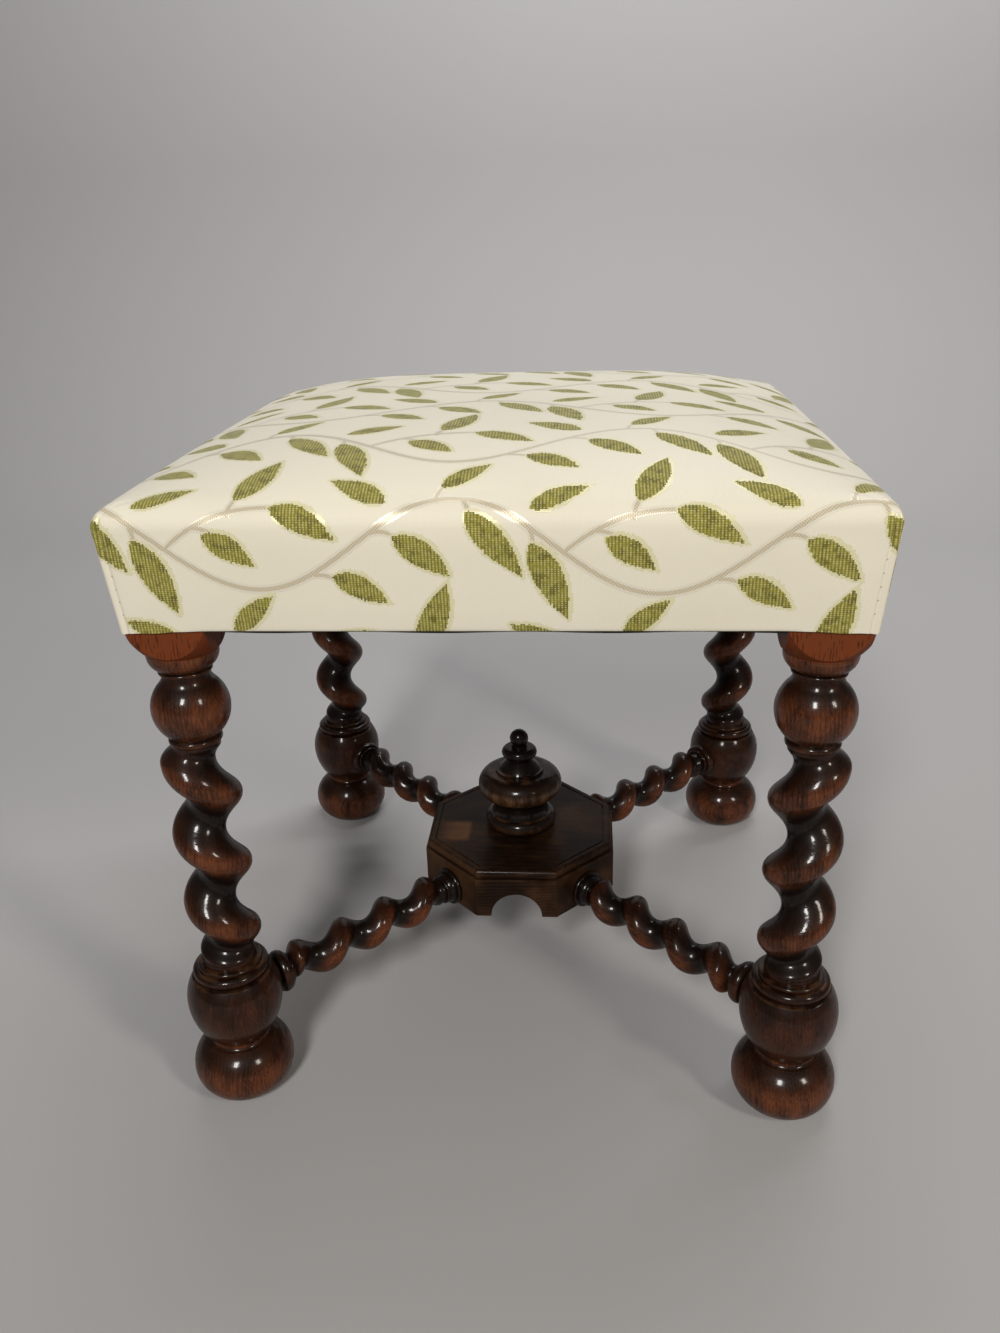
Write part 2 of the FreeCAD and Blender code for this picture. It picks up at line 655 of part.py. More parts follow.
def seat_stuffing():
    """Stuffing pad on the rails, hollowed underneath for the webbing and hessian."""
    inset = COVER_THICKNESS + WADDING_THICKNESS + 2 * SOFT_CLEARANCE
    bottom = leg_top + SOFT_CLEARANCE
    half = block_outer - STRAP_EDGE + SOFT_CLEARANCE
    pocket = box(-half, half, -half, half, bottom, hessian_bottom + HESSIAN_THICKNESS + SOFT_CLEARANCE)
    return seat_form(inset, bottom).cut(pocket)


# Legs, with the mortises for two rails and the bore for one stretcher
mortises = []
for quarter in range(4):
    for end in (-1, 1):
        mortises.append(turned(tenon(end, FIT_CLEARANCE), quarter))
ball_bore_start = leg_distance - BALL_RADIUS - LEG_COLLAR_LENGTH
ball_bore_end = leg_distance - BALL_RADIUS + SPIGOT_LENGTH + BORE_END_GAP
for name, corner in CORNERS.items():
    piece = leg(corner[0], corner[1])
    piece.translate(Vector(corner[0] * leg_offset, corner[1] * leg_offset, 0))
    piece = piece.cut(mortises + [outwards(bore(ball_bore_start, ball_bore_end), corner)])
    save(name + "_leg", piece)

# Stretchers, mirrored across the stool both ways
stretcher_forms = {-1: stretcher(-1), 1: stretcher(1)}
for name, corner in CORNERS.items():
    hand = -corner[0] * corner[1]
    piece = stretcher_forms[hand].copy()
    piece.rotate(Vector(), UP, STRETCHER_ROLL[name])
    save(name + "_stretcher", outwards(piece, corner))

save("stretcher_hub", hub())
save("hub_finial", finial())

# Seat frame
for quarter, name in enumerate(("front", "right", "back", "left")):
    save(name + "_rail", turned(front_rail(), quarter))
screws = []
for quarter, name in enumerate(("back_right", "back_left", "front_left", "front_right")):
    save(name + "_brace", turned(back_right_brace(), quarter))
    screws += [turned(screw, quarter) for screw in brace_screws()]
save("brace_screws", Part.makeCompound(screws))

# Upholstery from the inside out
for i in range(STRAPS_EACH_WAY):
    save("webbing_front_to_back_" + str(i + 1), strap(i, 0))
    save("webbing_side_to_side_" + str(i + 1), turned(strap(i, 1), 1))
edge = block_outer - STRAP_EDGE
save("seat_hessian", box(-edge, edge, -edge, edge, hessian_bottom, hessian_bottom + HESSIAN_THICKNESS))
save("seat_stuffing", seat_stuffing())
save("seat_wadding", seat_wadding())
save("seat_cover", seat_cover())
edge = block_outer - DUST_COVER_INSET
dust_top = cover_bottom - SOFT_CLEARANCE
dust_cover = box(-edge, edge, -edge, edge, dust_top - DUST_COVER_THICKNESS, dust_top)
save("dust_cover", dust_cover.cut(leg_notches(2 * SOFT_CLEARANCE, dust_top - DUST_COVER_THICKNESS, dust_top)))
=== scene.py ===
"""Barley twist stool: the finish of its turned oak, its covered seat and a plain studio around it."""
import math

import bpy
from mathutils import Matrix, Vector


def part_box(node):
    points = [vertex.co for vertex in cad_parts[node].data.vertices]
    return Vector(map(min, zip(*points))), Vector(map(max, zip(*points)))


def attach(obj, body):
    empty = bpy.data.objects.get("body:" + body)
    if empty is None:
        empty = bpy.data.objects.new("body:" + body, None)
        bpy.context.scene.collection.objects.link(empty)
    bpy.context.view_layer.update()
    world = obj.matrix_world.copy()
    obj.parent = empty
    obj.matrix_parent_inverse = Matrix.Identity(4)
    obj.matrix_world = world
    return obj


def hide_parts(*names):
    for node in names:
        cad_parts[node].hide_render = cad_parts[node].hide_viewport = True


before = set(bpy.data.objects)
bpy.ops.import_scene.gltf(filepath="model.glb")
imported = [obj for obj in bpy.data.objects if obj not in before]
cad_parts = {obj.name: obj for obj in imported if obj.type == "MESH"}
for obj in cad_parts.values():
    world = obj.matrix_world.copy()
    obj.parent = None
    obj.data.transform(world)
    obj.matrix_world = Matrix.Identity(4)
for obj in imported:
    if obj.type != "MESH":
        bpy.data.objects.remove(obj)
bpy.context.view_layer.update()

bl_info = {
    "name": "Barley Twist Stool",
    "version": (1, 0, 0),
    "blender": (4, 5, 0),
    "location": "View3D > Sidebar > Stool",
    "description": "Dresses a barley twist stool in stained oak and leaf cloth, in a plain studio",
    "category": "Object",
}

MM = 0.001
TURN = 2 * math.pi
DIAGONAL = math.sqrt(0.5)
CORNERS = ("front_left", "front_right", "back_left", "back_right")
SIDES = ("front", "right", "back", "left")

COVER_LOW, COVER_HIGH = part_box("seat_cover")
LEG_LOW, LEG_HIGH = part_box("front_right_leg")
STRETCHER_LOW, STRETCHER_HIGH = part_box("front_right_stretcher")
RAIL_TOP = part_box("front_rail")[1][2]
HUB_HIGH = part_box("stretcher_hub")[1]
BOTTOM_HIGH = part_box("dust_cover")[1]
LEG_PLACE = (LEG_LOW[0] + LEG_HIGH[0]) / 2
STRETCHER_LEVEL = (STRETCHER_LOW[2] + STRETCHER_HIGH[2]) / 2
# Distance from the middle of the stool to the inner faces of the square blocks
BLOCK_INNER = 0.17075


# Values that a user may change

def length(name, default, description):
    """Property for a size in metres."""
    return bpy.props.FloatProperty(name=name, description=description, default=default, precision=5,
                                   subtype="DISTANCE", unit="LENGTH")


def amount(name, default, description):
    """Property for a plain number."""
    return bpy.props.FloatProperty(name=name, description=description, default=default, precision=3)


def colour(name, default, description):
    """Property for a linear colour."""
    return bpy.props.FloatVectorProperty(name=name, description=description, default=default, size=3,
                                         min=0.0, max=1.0, subtype="COLOR")


class StoolWood(bpy.types.PropertyGroup):
    """Stain, polish and grain of the wood, and the steel in it."""

    # Real stain in the hollows, and also the colour of the painted shade on surfaces that face up
    hollow_stain_and_shade: colour("Hollow stain", (0.0050, 0.0021, 0.0011), "Stain where it collects in the hollows")
    stain_high: colour("Rubbed stain", (0.120, 0.0345, 0.0110), "Stain on the rubbed high parts")
    dry_face: colour("Dry face", (0.135, 0.027, 0.0065), "Thin stain on the flat block faces")
    worn_edge: colour("Worn edge", (0.115, 0.054, 0.024), "Bare wood on rubbed edges")
    hub_brown: colour("Hub brown", (0.062, 0.0285, 0.0125), "Faded stain of the hub")
    hub_patch: colour("Hub patch", (0.135, 0.058, 0.024), "Lighter patch on the hub's top")
    frame_wood: colour("Frame wood", (0.42, 0.27, 0.14), "Sawn wood of the hidden frame")
    steel: colour("Steel", (0.52, 0.51, 0.49), "Dull steel of screws and tacks")
    tarnish: colour("Tarnish", (0.22, 0.21, 0.20), "Dark spots on the steel")
    ring_pitch: length("Growth rings", 2.6 * MM, "Distance between growth rings")
    block_level: length("Block level", 0.345, "Height of the lower end of the square blocks")


class StoolCloth(bpy.types.PropertyGroup):
    """Colours of the cloths and fillings, and the repeat of the leaf cloth."""

    ground: colour("Ground", (0.705, 0.668, 0.555), "Cream satin ground")
    leaf_body: colour("Leaf", (0.295, 0.268, 0.050), "Green chenille of the leaves")
    # Leaf shade is painted shade between the chenille ribs, and also the colour of random dark patches
    leaf_dark: colour("Leaf shade", (0.060, 0.054, 0.005), "Dark yarn between the chenille ribs")
    # Leaf light is a painted highlight on the chenille crests
    leaf_light: colour("Leaf light", (0.56, 0.53, 0.25), "Pale flecks in the chenille")
    leaf_rim: colour("Leaf rim", (0.60, 0.57, 0.30), "Straw yarn along the leaf edges")
    vine: colour("Vine", (0.45, 0.385, 0.26), "Grey beige yarn of the trailing stems")
    thread: colour("Seam thread", (0.44, 0.39, 0.29), "Thread of the corner seams")
    bottom: colour("Bottom cloth", (0.012, 0.012, 0.013), "Black cloth under the seat")
    jute: colour("Jute", (0.36, 0.25, 0.13), "Jute of the webbing")
    hessian: colour("Hessian", (0.42, 0.31, 0.17), "Hessian over the webbing")
    stuffing: colour("Stuffing", (0.20, 0.14, 0.08), "Fibre of the stuffing")
    wadding: colour("Wadding", (0.80, 0.79, 0.75), "Fibre of the wadding")
    repeat: length("Repeat", 0.2275, "Width of the pattern repeat")
    row: length("Row height", 0.092, "Height from one trailing stem to the next")
    start_x: length("Row start", -0.0278, "Place of a stem's crest across the seat")
    start_y: length("First row", -0.2175, "Place of a stem's crest along the cloth")
    tilt: amount("Tilt", 0.015, "Slope of the pattern's rows across the seat")
    cell: length("Weave cell", 0.95 * MM, "Size of one step of the woven figure")
    rib: length("Chenille rib", 1.9 * MM, "Distance between chenille ribs")


class StoolSeat(bpy.types.PropertyGroup):
    """Shape of the stuffed and covered seat."""

    dome_edge: length("Dome edge", 0.437, "Height of the dome's straight edges")
    dome_rise: length("Dome rise", COVER_HIGH[2] - 0.437, "Rise of the dome from its edges to the middle")
    dome_reach: length("Dome reach", COVER_HIGH[0] + 6.7 * MM, "Half width of the dome at its edges")
    front_ear: length("Front ears", 5.0 * MM, "How much fuller the front corners are stuffed than the edges")
    back_ear: length("Back ears", 1.0 * MM, "How much fuller the back corners are stuffed than the edges")
    roll_inset: length("Roll inset", 9.0 * MM, "How far inside the widest line the edge starts to roll")
    corner: length("Corner rounding", 3.0 * MM, "Radius of the seat's upright corners")
    belly: length("Belly", 2.4 * MM, "How far the stuffed sides stand out past the drawn width")
    lean: length("Lean", 5.2 * MM, "How far the sides draw in towards the hem")
    hem_width: length("Hem width", 17.0 * MM, "Width of cloth turned under the rails")
    cover_thickness: length("Cloth thickness", 0.8 * MM, "Thickness of the cover cloth")
    wadding_thickness: length("Wadding thickness", 0.7 * MM, "Thickness of the wadding")
    bottom_thickness: length("Bottom thickness", 0.5 * MM, "Thickness of the bottom cloth")
    swell: length("Swell", 1.0 * MM, "Furthest that the cloth may swell from its drawn shape")
    sag: length("Sag", 4.0 * MM, "Sag of the bottom cloth in the middle")
    seam_place: length("Seam place", 4.2 * MM, "Distance from a corner to its seam")
    seam_depth: length("Seam depth", 1.4 * MM, "How deep the cloth is drawn in along a seam")
    stitch: length("Stitch", 1.5 * MM, "Half length of a corner stitch")
    tack_pitch: length("Tack pitch", 38.0 * MM, "Distance between the tacks of the bottom cloth")
    tack_radius: length("Tack head", 3.0 * MM, "Radius of a tack's head")


class StoolStage(bpy.types.PropertyGroup):
    """Floor, lamps and camera."""

    floor: colour("Paper", (0.39, 0.385, 0.388), "Pale grey paper of floor and backdrop")
    camera_place: bpy.props.FloatVectorProperty(
        name="Camera place", description="Where the camera stands", default=(0.0567, -0.8019, 0.590),
        size=3, subtype="XYZ", unit="LENGTH")
    camera_yaw: amount("Camera yaw", -0.0879, "Turn of the camera to the right, in radians")
    camera_pitch: amount("Camera pitch", 0.3994, "Tilt of the camera downwards, in radians")
    camera_roll: amount("Camera roll", -0.0319, "Roll of the camera, in radians")
    camera_lens: amount("Lens", 29.17, "Focal length in millimetres on a 36 mm long side")
    front_lamp: amount("Front lamp", 55.5, "Power of the soft lamp above the camera, in watts")
    right_lamp: amount("Right lamp", 24.5, "Power of the warm soft lamp on the right, in watts")
    back_lamp: amount("Back lamp", 3.4, "Power of the soft lamp behind, in watts")
    wall_lamp: amount("Wall lamp", 38.0, "Power of the lamp on the backdrop, in watts")
    room: amount("Room light", 0.09, "Strength of the even light from all round")


# Formulas in shader nodes

class Term:
    """A value that changes over a surface. Arithmetic on it adds Math nodes to its tree."""

    def __init__(self, shade, socket):
        self.shade = shade
        self.socket = socket

    def op(self, operation, *others):
        """Result of one Math node on this value and the others."""
        return self.shade.math(operation, self, *others)

    def __add__(self, other):
        return self.op("ADD", other)

    def __radd__(self, other):
        return self.op("ADD", other)

    def __sub__(self, other):
        return self.op("SUBTRACT", other)

    def __rsub__(self, other):
        return self.shade.math("SUBTRACT", other, self)

    def __mul__(self, other):
        return self.op("MULTIPLY", other)

    def __rmul__(self, other):
        return self.op("MULTIPLY", other)

    def __truediv__(self, other):
        return self.op("DIVIDE", other)

    def __abs__(self):
        return self.op("ABSOLUTE")

    def smaller(self, other):
        """The smaller of two values."""
        return self.op("MINIMUM", other)

    def larger(self, other):
        """The larger of two values."""
        return self.op("MAXIMUM", other)

    def below(self, limit):
        """One where the value is below the limit, otherwise nought."""
        return self.op("LESS_THAN", limit)

    def root(self):
        """Square root."""
        return self.op("SQRT")

    def rise(self, low, high):
        """Smooth step from nought at low to one at high."""
        made = self.shade.node("ShaderNodeMapRange", interpolation_type="SMOOTHSTEP")
        self.shade.feed(made.inputs["Value"], self)
        self.shade.feed(made.inputs["From Min"], low)
        self.shade.feed(made.inputs["From Max"], high)
        return Term(self.shade, made.outputs[0])

    def wave(self, pitch):
        """Sine wave between nought and one with this pitch."""
        return (self * (TURN / pitch)).op("SINE") * 0.5 + 0.5


class Shade:
    """Adds nodes to one tree and links them, so that a material reads as a formula."""

    def __init__(self, tree):
        self.tree = tree

    def node(self, kind, **settings):
        """New node with these settings."""
        made = self.tree.nodes.new(kind)
        for name, value in settings.items():
            setattr(made, name, value)
        return made

    def feed(self, socket, value):
        """Link a value to a socket, or set a plain number, vector or colour on it."""
        if isinstance(value, Term):
            self.tree.links.new(value.socket, socket)
        elif isinstance(value, (int, float)):
            socket.default_value = value
        else:
            socket.default_value = tuple(value)[:len(socket.default_value)]

    def math(self, operation, *values):
        """Math node."""
        made = self.node("ShaderNodeMath", operation=operation)
        for socket, value in zip(made.inputs, values):
            self.feed(socket, value)
        return Term(self, made.outputs[0])

    def mix(self, factor, first, second):
        """Colour between two colours."""
        made = self.node("ShaderNodeMix", data_type="RGBA")
        self.feed(made.inputs[0], factor)
        self.feed(made.inputs[6], paint(first))
        self.feed(made.inputs[7], paint(second))
        return Term(self, made.outputs[2])

    def split(self, vector):
        """The three parts of a vector."""
        made = self.node("ShaderNodeSeparateXYZ")
        self.feed(made.inputs[0], vector)
        return [Term(self, socket) for socket in made.outputs]

    def join(self, x, y, z):
        """Vector from three parts."""
        made = self.node("ShaderNodeCombineXYZ")
        for socket, value in zip(made.inputs, (x, y, z)):
            self.feed(socket, value)
        return Term(self, made.outputs[0])

    def noise(self, vector, stretch, detail=2.0, shift=0.0):
        """Noise between nought and one, with cycles per metre along the three axes."""
        scaled = self.node("ShaderNodeVectorMath", operation="MULTIPLY_ADD")
        self.feed(scaled.inputs[0], vector)
        self.feed(scaled.inputs[1], stretch)
        self.feed(scaled.inputs[2], (shift, shift, shift))
        made = self.node("ShaderNodeTexNoise")
        self.tree.links.new(scaled.outputs[0], made.inputs["Vector"])
        made.inputs["Scale"].default_value = 1.0
        made.inputs["Detail"].default_value = detail
        return Term(self, made.outputs[0])

    def place(self):
        """Position on the stool, in metres."""
        return Term(self, self.node("ShaderNodeTexCoord").outputs["Object"])

    def upward(self):
        """How far the surface faces up, from minus one to one."""
        return self.split(Term(self, self.node("ShaderNodeNewGeometry").outputs["Normal"]))[2]

    def group(self, name, **values):
        """Place a node group and give its inputs their values; returns its outputs by name."""
        made = self.node("ShaderNodeGroup", node_tree=bpy.data.node_groups[name])
        for key, value in values.items():
            self.feed(made.inputs[key.replace("_", " ")], value)
        return {socket.name: Term(self, socket) for socket in made.outputs}


def paint(value):
    """A colour with its alpha, or a value that is already in the tree."""
    if isinstance(value, Term):
        return value
    return tuple(value)[:3] + (1.0,)


def darker(tint, share):
    """A share of a colour."""
    return tuple(share * part for part in tint)


def node_group(name, inputs, outputs, fill):
    """Shader node group: fill gets its Shade and input values, and returns its output values by name."""
    tree = bpy.data.node_groups.new(name, "ShaderNodeTree")
    kinds = {"value": "NodeSocketFloat", "vector": "NodeSocketVector", "colour": "NodeSocketColor"}
    for socket, kind in inputs.items():
        tree.interface.new_socket(socket, in_out="INPUT", socket_type=kinds[kind])
    for socket, kind in outputs.items():
        tree.interface.new_socket(socket, in_out="OUTPUT", socket_type=kinds[kind])
    shade = Shade(tree)
    entry = shade.node("NodeGroupInput")
    leave = shade.node("NodeGroupOutput")
    results = fill(shade, *[Term(shade, entry.outputs[socket]) for socket in inputs])
    for socket, value in results.items():
        shade.feed(leave.inputs[socket], value)


def material(name, fill, **constants):
    """Material with one Principled shader: constants are set on its sockets and fill links the rest."""
    made = bpy.data.materials.new(name)
    made.use_nodes = True
    tree = made.node_tree
    tree.nodes.clear()
    shade = Shade(tree)
    surface = shade.node("ShaderNodeBsdfPrincipled")
    for key, value in constants.items():
        surface.inputs[key.replace("_", " ")].default_value = value
    for key, value in fill(shade).items():
        shade.feed(surface.inputs[key], value)
    ending = shade.node("ShaderNodeOutputMaterial")
    tree.links.new(surface.outputs[0], ending.inputs[0])
    return made


def bump(shade, height, depth):
    """Normal that follows a height between nought and one, with this depth in metres."""
    made = shade.node("ShaderNodeBump")
    made.inputs["Distance"].default_value = depth
    shade.feed(made.inputs["Height"], height)
    return Term(shade, made.outputs[0])


# Shared effects

FIGURE = ("Ring", "Streak", "Pore", "Fleck", "Blotch")
# Each row of the trail starts this share of a repeat further on, and odd rows a little less
ROW_SHIFT = 0.515
ODD_ROW_SHIFT = 0.0365
# The straw rim of a leaf lies outside its outline, and the green body inside it and a little to one side
RIM_WIDTH = 1.4 * MM
BODY_INSET = 0.7 * MM
BODY_SHIFT = (0.5 * MM, 0.3 * MM)
LEAF_ROUNDING = 0.7
# The satin along a stem is this many times as wide as the stem
SATIN_WIDTH = 2.0


def fill_grain(shade, place, pith, pitch):
    """Growth rings about a far pith, fibre streaks and open pores, with the grain along Z."""
    x, y, z = shade.split(place)
    pith_x, pith_y, lean = shade.split(pith)
    sway = shade.noise(place, (46, 46, 16), 3.0)
    across = x - pith_x + lean * z + (sway - 0.5) * 0.014
    along = y - pith_y
    far = (across * across + along * along).root()
    band = (far / pitch).op("FRACT")
    ring = band.rise(0.0, 0.75) * (1.0 - band.rise(0.86, 1.0))
    streak = shade.noise(place, (170, 170, 42), 4.0)
    pore = shade.noise(place, (1300, 1300, 130), 1.0, 3.0).rise(0.58, 0.70)
    fleck = shade.noise(place, (900, 900, 150), 1.0, 5.0).rise(0.58, 0.70)
    blotch = shade.noise(place, (62, 62, 28), 3.0, 9.0)
    return {"Ring": ring, "Streak": streak, "Pore": pore, "Fleck": fleck, "Blotch": blotch}


def fill_stain_and_shade(shade, hollow, high, height, facing_up, ring, streak, pore, fleck, blotch):
    """Stain that is dark in hollows and rubbed lighter on high parts, with painted shade darkening the upper
    sides.
    """
    figure = 0.02 + 0.24 * ring + 0.26 * streak.rise(0.32, 0.70) + 0.55 * blotch.rise(0.34, 0.66)
    figure = figure + 0.45 * fleck
    # Painted shade: the more a surface faces up, the less it is rubbed, so it takes the dark hollow colour
    rubbed = (height * figure * (1.0 - 0.80 * facing_up)).larger(0.0).smaller(1.0)
    stained = shade.mix(rubbed, hollow, high)
    stained = shade.mix(pore * 0.50, stained, hollow)
    gloss = (0.26 + 0.30 * streak) * (1.0 - 0.6 * pore)
    return {"Color": stained, "Roughness": 0.36 + 0.14 * streak + 0.10 * pore, "Gloss": gloss}


def fill_wear(shade, colour_in, worn, distance, width, place):
    """Rubs a colour through to bare wood where the distance to an edge is small, in broken lines."""
    broken = shade.noise(place, (85, 85, 85), 4.0).rise(0.42, 0.62)
    line = (1.0 - (distance / width).smaller(1.0)) * broken
    return {"Color": shade.mix(line * 0.40, colour_in, worn)}


def in_row(u, v, start_x, start_y, repeat, row):
    """Place within the nearest row of the trail: repeats across from its start, and height in metres."""
    step = ((v - start_y) / row).op("ROUND")
    odd = step.op("PINGPONG", 1.0)
    return (u - start_x) / repeat - step * ROW_SHIFT + odd * ODD_ROW_SHIFT, v - start_y - step * row


def from_centre(shade, cloth, centre, repeat, row):
    """Place across and up from the centre of a leaf or stem, in its nearest repeat."""
    u, v, rest = shade.split(cloth)
    centre_x, centre_y, rest = shade.split(centre)
    turns, y = in_row(u, v, centre_x, centre_y, repeat, row)
    return (turns - turns.op("ROUND")) * repeat, y


def leaf_edge(x, y, axis_x, axis_y, half_length, half_width, bend):
    """Distance past the edge of a leaf that is round at its stem and pointed at its tip."""
    a = (x * axis_x + y * axis_y) / half_length
    beyond = (abs(a) - 1.0).larger(0.0) * half_length
    a = a.smaller(1.0).larger(-1.0)
    b = (y * axis_x - x * axis_y) - half_width * bend * (1.0 - a * a)
    outline = half_width * (1.0 - a) * (1.0 + a).op("POWER", LEAF_ROUNDING)
    return abs(b) - outline + beyond


def fill_leaf(shade, cloth, centre, axis, half_length, half_width, bend, repeat, row):
    """One leaf of the trail, repeated in shifted rows: its whole outline and its green body."""
    x, y = from_centre(shade, cloth, centre, repeat, row)
    axis_x, axis_y, rest = shade.split(axis)
    shift_x, shift_y = BODY_SHIFT
    past = leaf_edge(x, y, axis_x, axis_y, half_length, half_width, bend)
    inner = leaf_edge(x + shift_x, y + shift_y, axis_x, axis_y, half_length, half_width, bend)
    leaf = past.below(RIM_WIDTH)
    return {"Leaf": leaf, "Body": inner.below(-BODY_INSET).smaller(leaf)}


def fill_stem(shade, cloth, centre, axis, half_length, half_width, bend, repeat, row):
    """One short stem of the trail, a bent line between two points, and the satin along it."""
    x, y = from_centre(shade, cloth, centre, repeat, row)
    axis_x, axis_y, rest = shade.split(axis)
    a = (x * axis_x + y * axis_y) / half_length
    b = (y * axis_x - x * axis_y) - bend * (1.0 - a * a)
    between = abs(a).below(1.0)
    return {"Stem": abs(b).below(half_width) * between,
            "Satin": abs(b).below(half_width * SATIN_WIDTH) * between}


def fill_vine(shade, cloth, start_x, start_y, swing, half_width, repeat, row):
    """The waving main stem of each row, and the satin along it."""
    u, v, rest = shade.split(cloth)
    turns, y = in_row(u, v, start_x, start_y - swing, repeat, row)
    turn = turns * TURN
    slope = turn.op("SINE") * (swing / repeat) * TURN
    gap = abs(y - swing * turn.op("COSINE")) / (slope * slope + 1.0).root()
    return {"Stem": gap.below(half_width), "Satin": gap.below(half_width * SATIN_WIDTH)}


def fill_weave(shade, place, pitch):
    """Plain weave: raised threads over and under, and their shade."""
    x, y, z = shade.split(place)
    warp = (x / pitch).op("PINGPONG", 1.0)
    weft = (y / pitch).op("PINGPONG", 1.0)
    over = ((x / pitch).op("FLOOR") + (y / pitch).op("FLOOR")).op("PINGPONG", 1.0)
    height = over * (1.0 - abs(warp - 0.5)) + (1.0 - over) * (1.0 - abs(weft - 0.5))
    slub = shade.noise(place, (300, 300, 300), 2.0)
    return {"Height": height, "Tone": 0.72 + 0.22 * height + 0.3 * (slub - 0.5)}


def shared_effects():
    """Build the node groups that the materials share."""
    value, vector, tint = "value", "vector", "colour"
    figure = {name: value for name in FIGURE}
    node_group("Oak grain", {"Place": vector, "Pith": vector, "Pitch": value}, figure, fill_grain)
    # Besides the stain, the Stain group paints shade on surfaces that face up
    node_group("Stain", {"Hollow": tint, "High": tint, "Height": value, "Facing up": value, **figure},
               {"Color": tint, "Roughness": value, "Gloss": value}, fill_stain_and_shade)
    node_group("Edge wear", {"Color": tint, "Worn": tint, "Distance": value, "Width": value, "Place": vector},
               {"Color": tint}, fill_wear)
    repeats = {"Repeat": value, "Row": value}
    shape = {"Cloth": vector, "Centre": vector, "Axis": vector, "Half length": value, "Half width": value,
             "Bend": value, **repeats}
    stem = {"Stem": value, "Satin": value}
    node_group("Leaf", shape, {"Leaf": value, "Body": value}, fill_leaf)
    node_group("Short stem", shape, stem, fill_stem)
    node_group("Vine", {"Cloth": vector, "Start x": value, "Start y": value, "Swing": value,
                        "Half width": value, **repeats}, stem, fill_vine)
    node_group("Plain weave", {"Place": vector, "Pitch": value}, {"Height": value, "Tone": value}, fill_weave)


# Turned oak

POLISH = {"Specular_IOR_Level": 0.08, "Coat_Roughness": 0.13}
GRAIN_DEPTH = 0.10 * MM
# Heights of the turned edges where the polish is rubbed through
LEG_EDGES = (0.049, 0.099, 0.107, 0.110, 0.281, 0.286, 0.330, 0.3326, 0.343)
FINIAL_EDGES = (0.1185, 0.1565, 0.1585)
# Radii over which the stain goes from dark to rubbed
LEG_RUB = (12.0 * MM, 23.5 * MM)
STRETCHER_RUB = (8.0 * MM, 16.0 * MM)
FINIAL_RUB = (26.0 * MM, 33.5 * MM)
# Heights over which the darker ball of a leg starts and ends
BALL_START = (45.0 * MM, 55.0 * MM)
BALL_END = (126.0 * MM, 136.0 * MM)
# Distances from the middle over which a stretcher's twist starts and ends
TWIST_START = (86.0 * MM, 100.0 * MM)
TWIST_END = (228.0 * MM, 236.0 * MM)
# Soft edges of the lighter patch on the hub
PATCH_LEFT = (-72.0 * MM, -56.0 * MM)
PATCH_RIGHT = (-45.0 * MM, -40.0 * MM)
PATCH_FRONT = (-34.0 * MM, -27.0 * MM)
PATCH_BACK = (-5.0 * MM, 2.0 * MM)
# Height from the middle of the hub's moulded edge to its top
HUB_EDGE_DROP = 3.5 * MM


def nearest(value, levels):
    """Distance from a value to the nearest of some levels."""
    gap = abs(value - levels[0])
    for level in levels[1:]:
        gap = gap.smaller(abs(value - level))
    return gap


def oak_grain(shade, wood, place, pith):
    """Grain of a piece that lies along Z, with its pith this far away and leaning."""
    return shade.group("Oak grain", Place=place, Pith=pith, Pitch=wood.ring_pitch)


def oak_stain_and_shade(shade, wood, grain, high, rubbed, facing_up):
    """Dark stain over a grain, with this colour where the wood is rubbed, and painted shade on the sides that
    face up.
    """
    figure = {name: grain[name] for name in FIGURE}
    return shade.group("Stain", Hollow=paint(wood.hollow_stain_and_shade), High=paint(high), Height=rubbed,
                       Facing_up=facing_up, **figure)


def worn_edges(shade, wood, tint, distance, width):
    """Colour that is rubbed through to bare wood within this distance of an edge."""
    worn = shade.group("Edge wear", Color=tint, Worn=paint(wood.worn_edge), Distance=distance, Width=width,
                       Place=shade.place())
    return worn["Color"]


def grain_bump(shade, grain, streak, depth):
    """Normal of smooth oak: its pores are sunk and its streaks stand up a little."""
    return bump(shade, 1.0 - grain["Pore"] * 0.8 + grain["Streak"] * streak, depth)


def leg_oak(wood):
    """Polished dark oak of the legs, with dry faces on the square blocks."""
    def fill(shade):
        x, y, z = shade.split(shade.place())
        across = abs(x) - LEG_PLACE
        along = abs(y) - LEG_PLACE
        each_leg = x.op("SIGN") * 0.37 + y.op("SIGN") * 0.71
        radius = (across * across + along * along).root()
        grain = oak_grain(shade, wood, shade.join(across, along, z + each_leg), (0.052, 0.031, 0.05))
        block = z.rise(wood.block_level - 1.2 * MM, wood.block_level + 0.4 * MM)
        ball = z.rise(*BALL_START) * (1.0 - z.rise(*BALL_END))
        # The upward faces of the legs get painted shade through Facing up
        stain = oak_stain_and_shade(shade, wood, grain, wood.stain_high, radius.rise(*LEG_RUB) * (1.0 - 0.65 * ball),
                          shade.upward().rise(0.05, 0.75))
        turned = worn_edges(shade, wood, stain["Color"], nearest(z, LEG_EDGES), 0.9 * MM)
        flat = 0.40 * grain["Streak"].rise(0.30, 0.68) + 0.20 * grain["Ring"] + 0.45 * grain["Blotch"]
        dry = shade.mix(flat, wood.stain_high, wood.dry_face)
        dry = shade.mix(grain["Pore"] * 0.55, dry, wood.hollow_stain_and_shade)
        return {"Base Color": shade.mix(block, turned, dry), "Roughness": stain["Roughness"] + block * 0.22,
                "Coat Weight": stain["Gloss"] * (1.0 - 0.85 * block),
                "Normal": grain_bump(shade, grain, 0.35, GRAIN_DEPTH)}
    return material("leg_oak", fill, **POLISH)


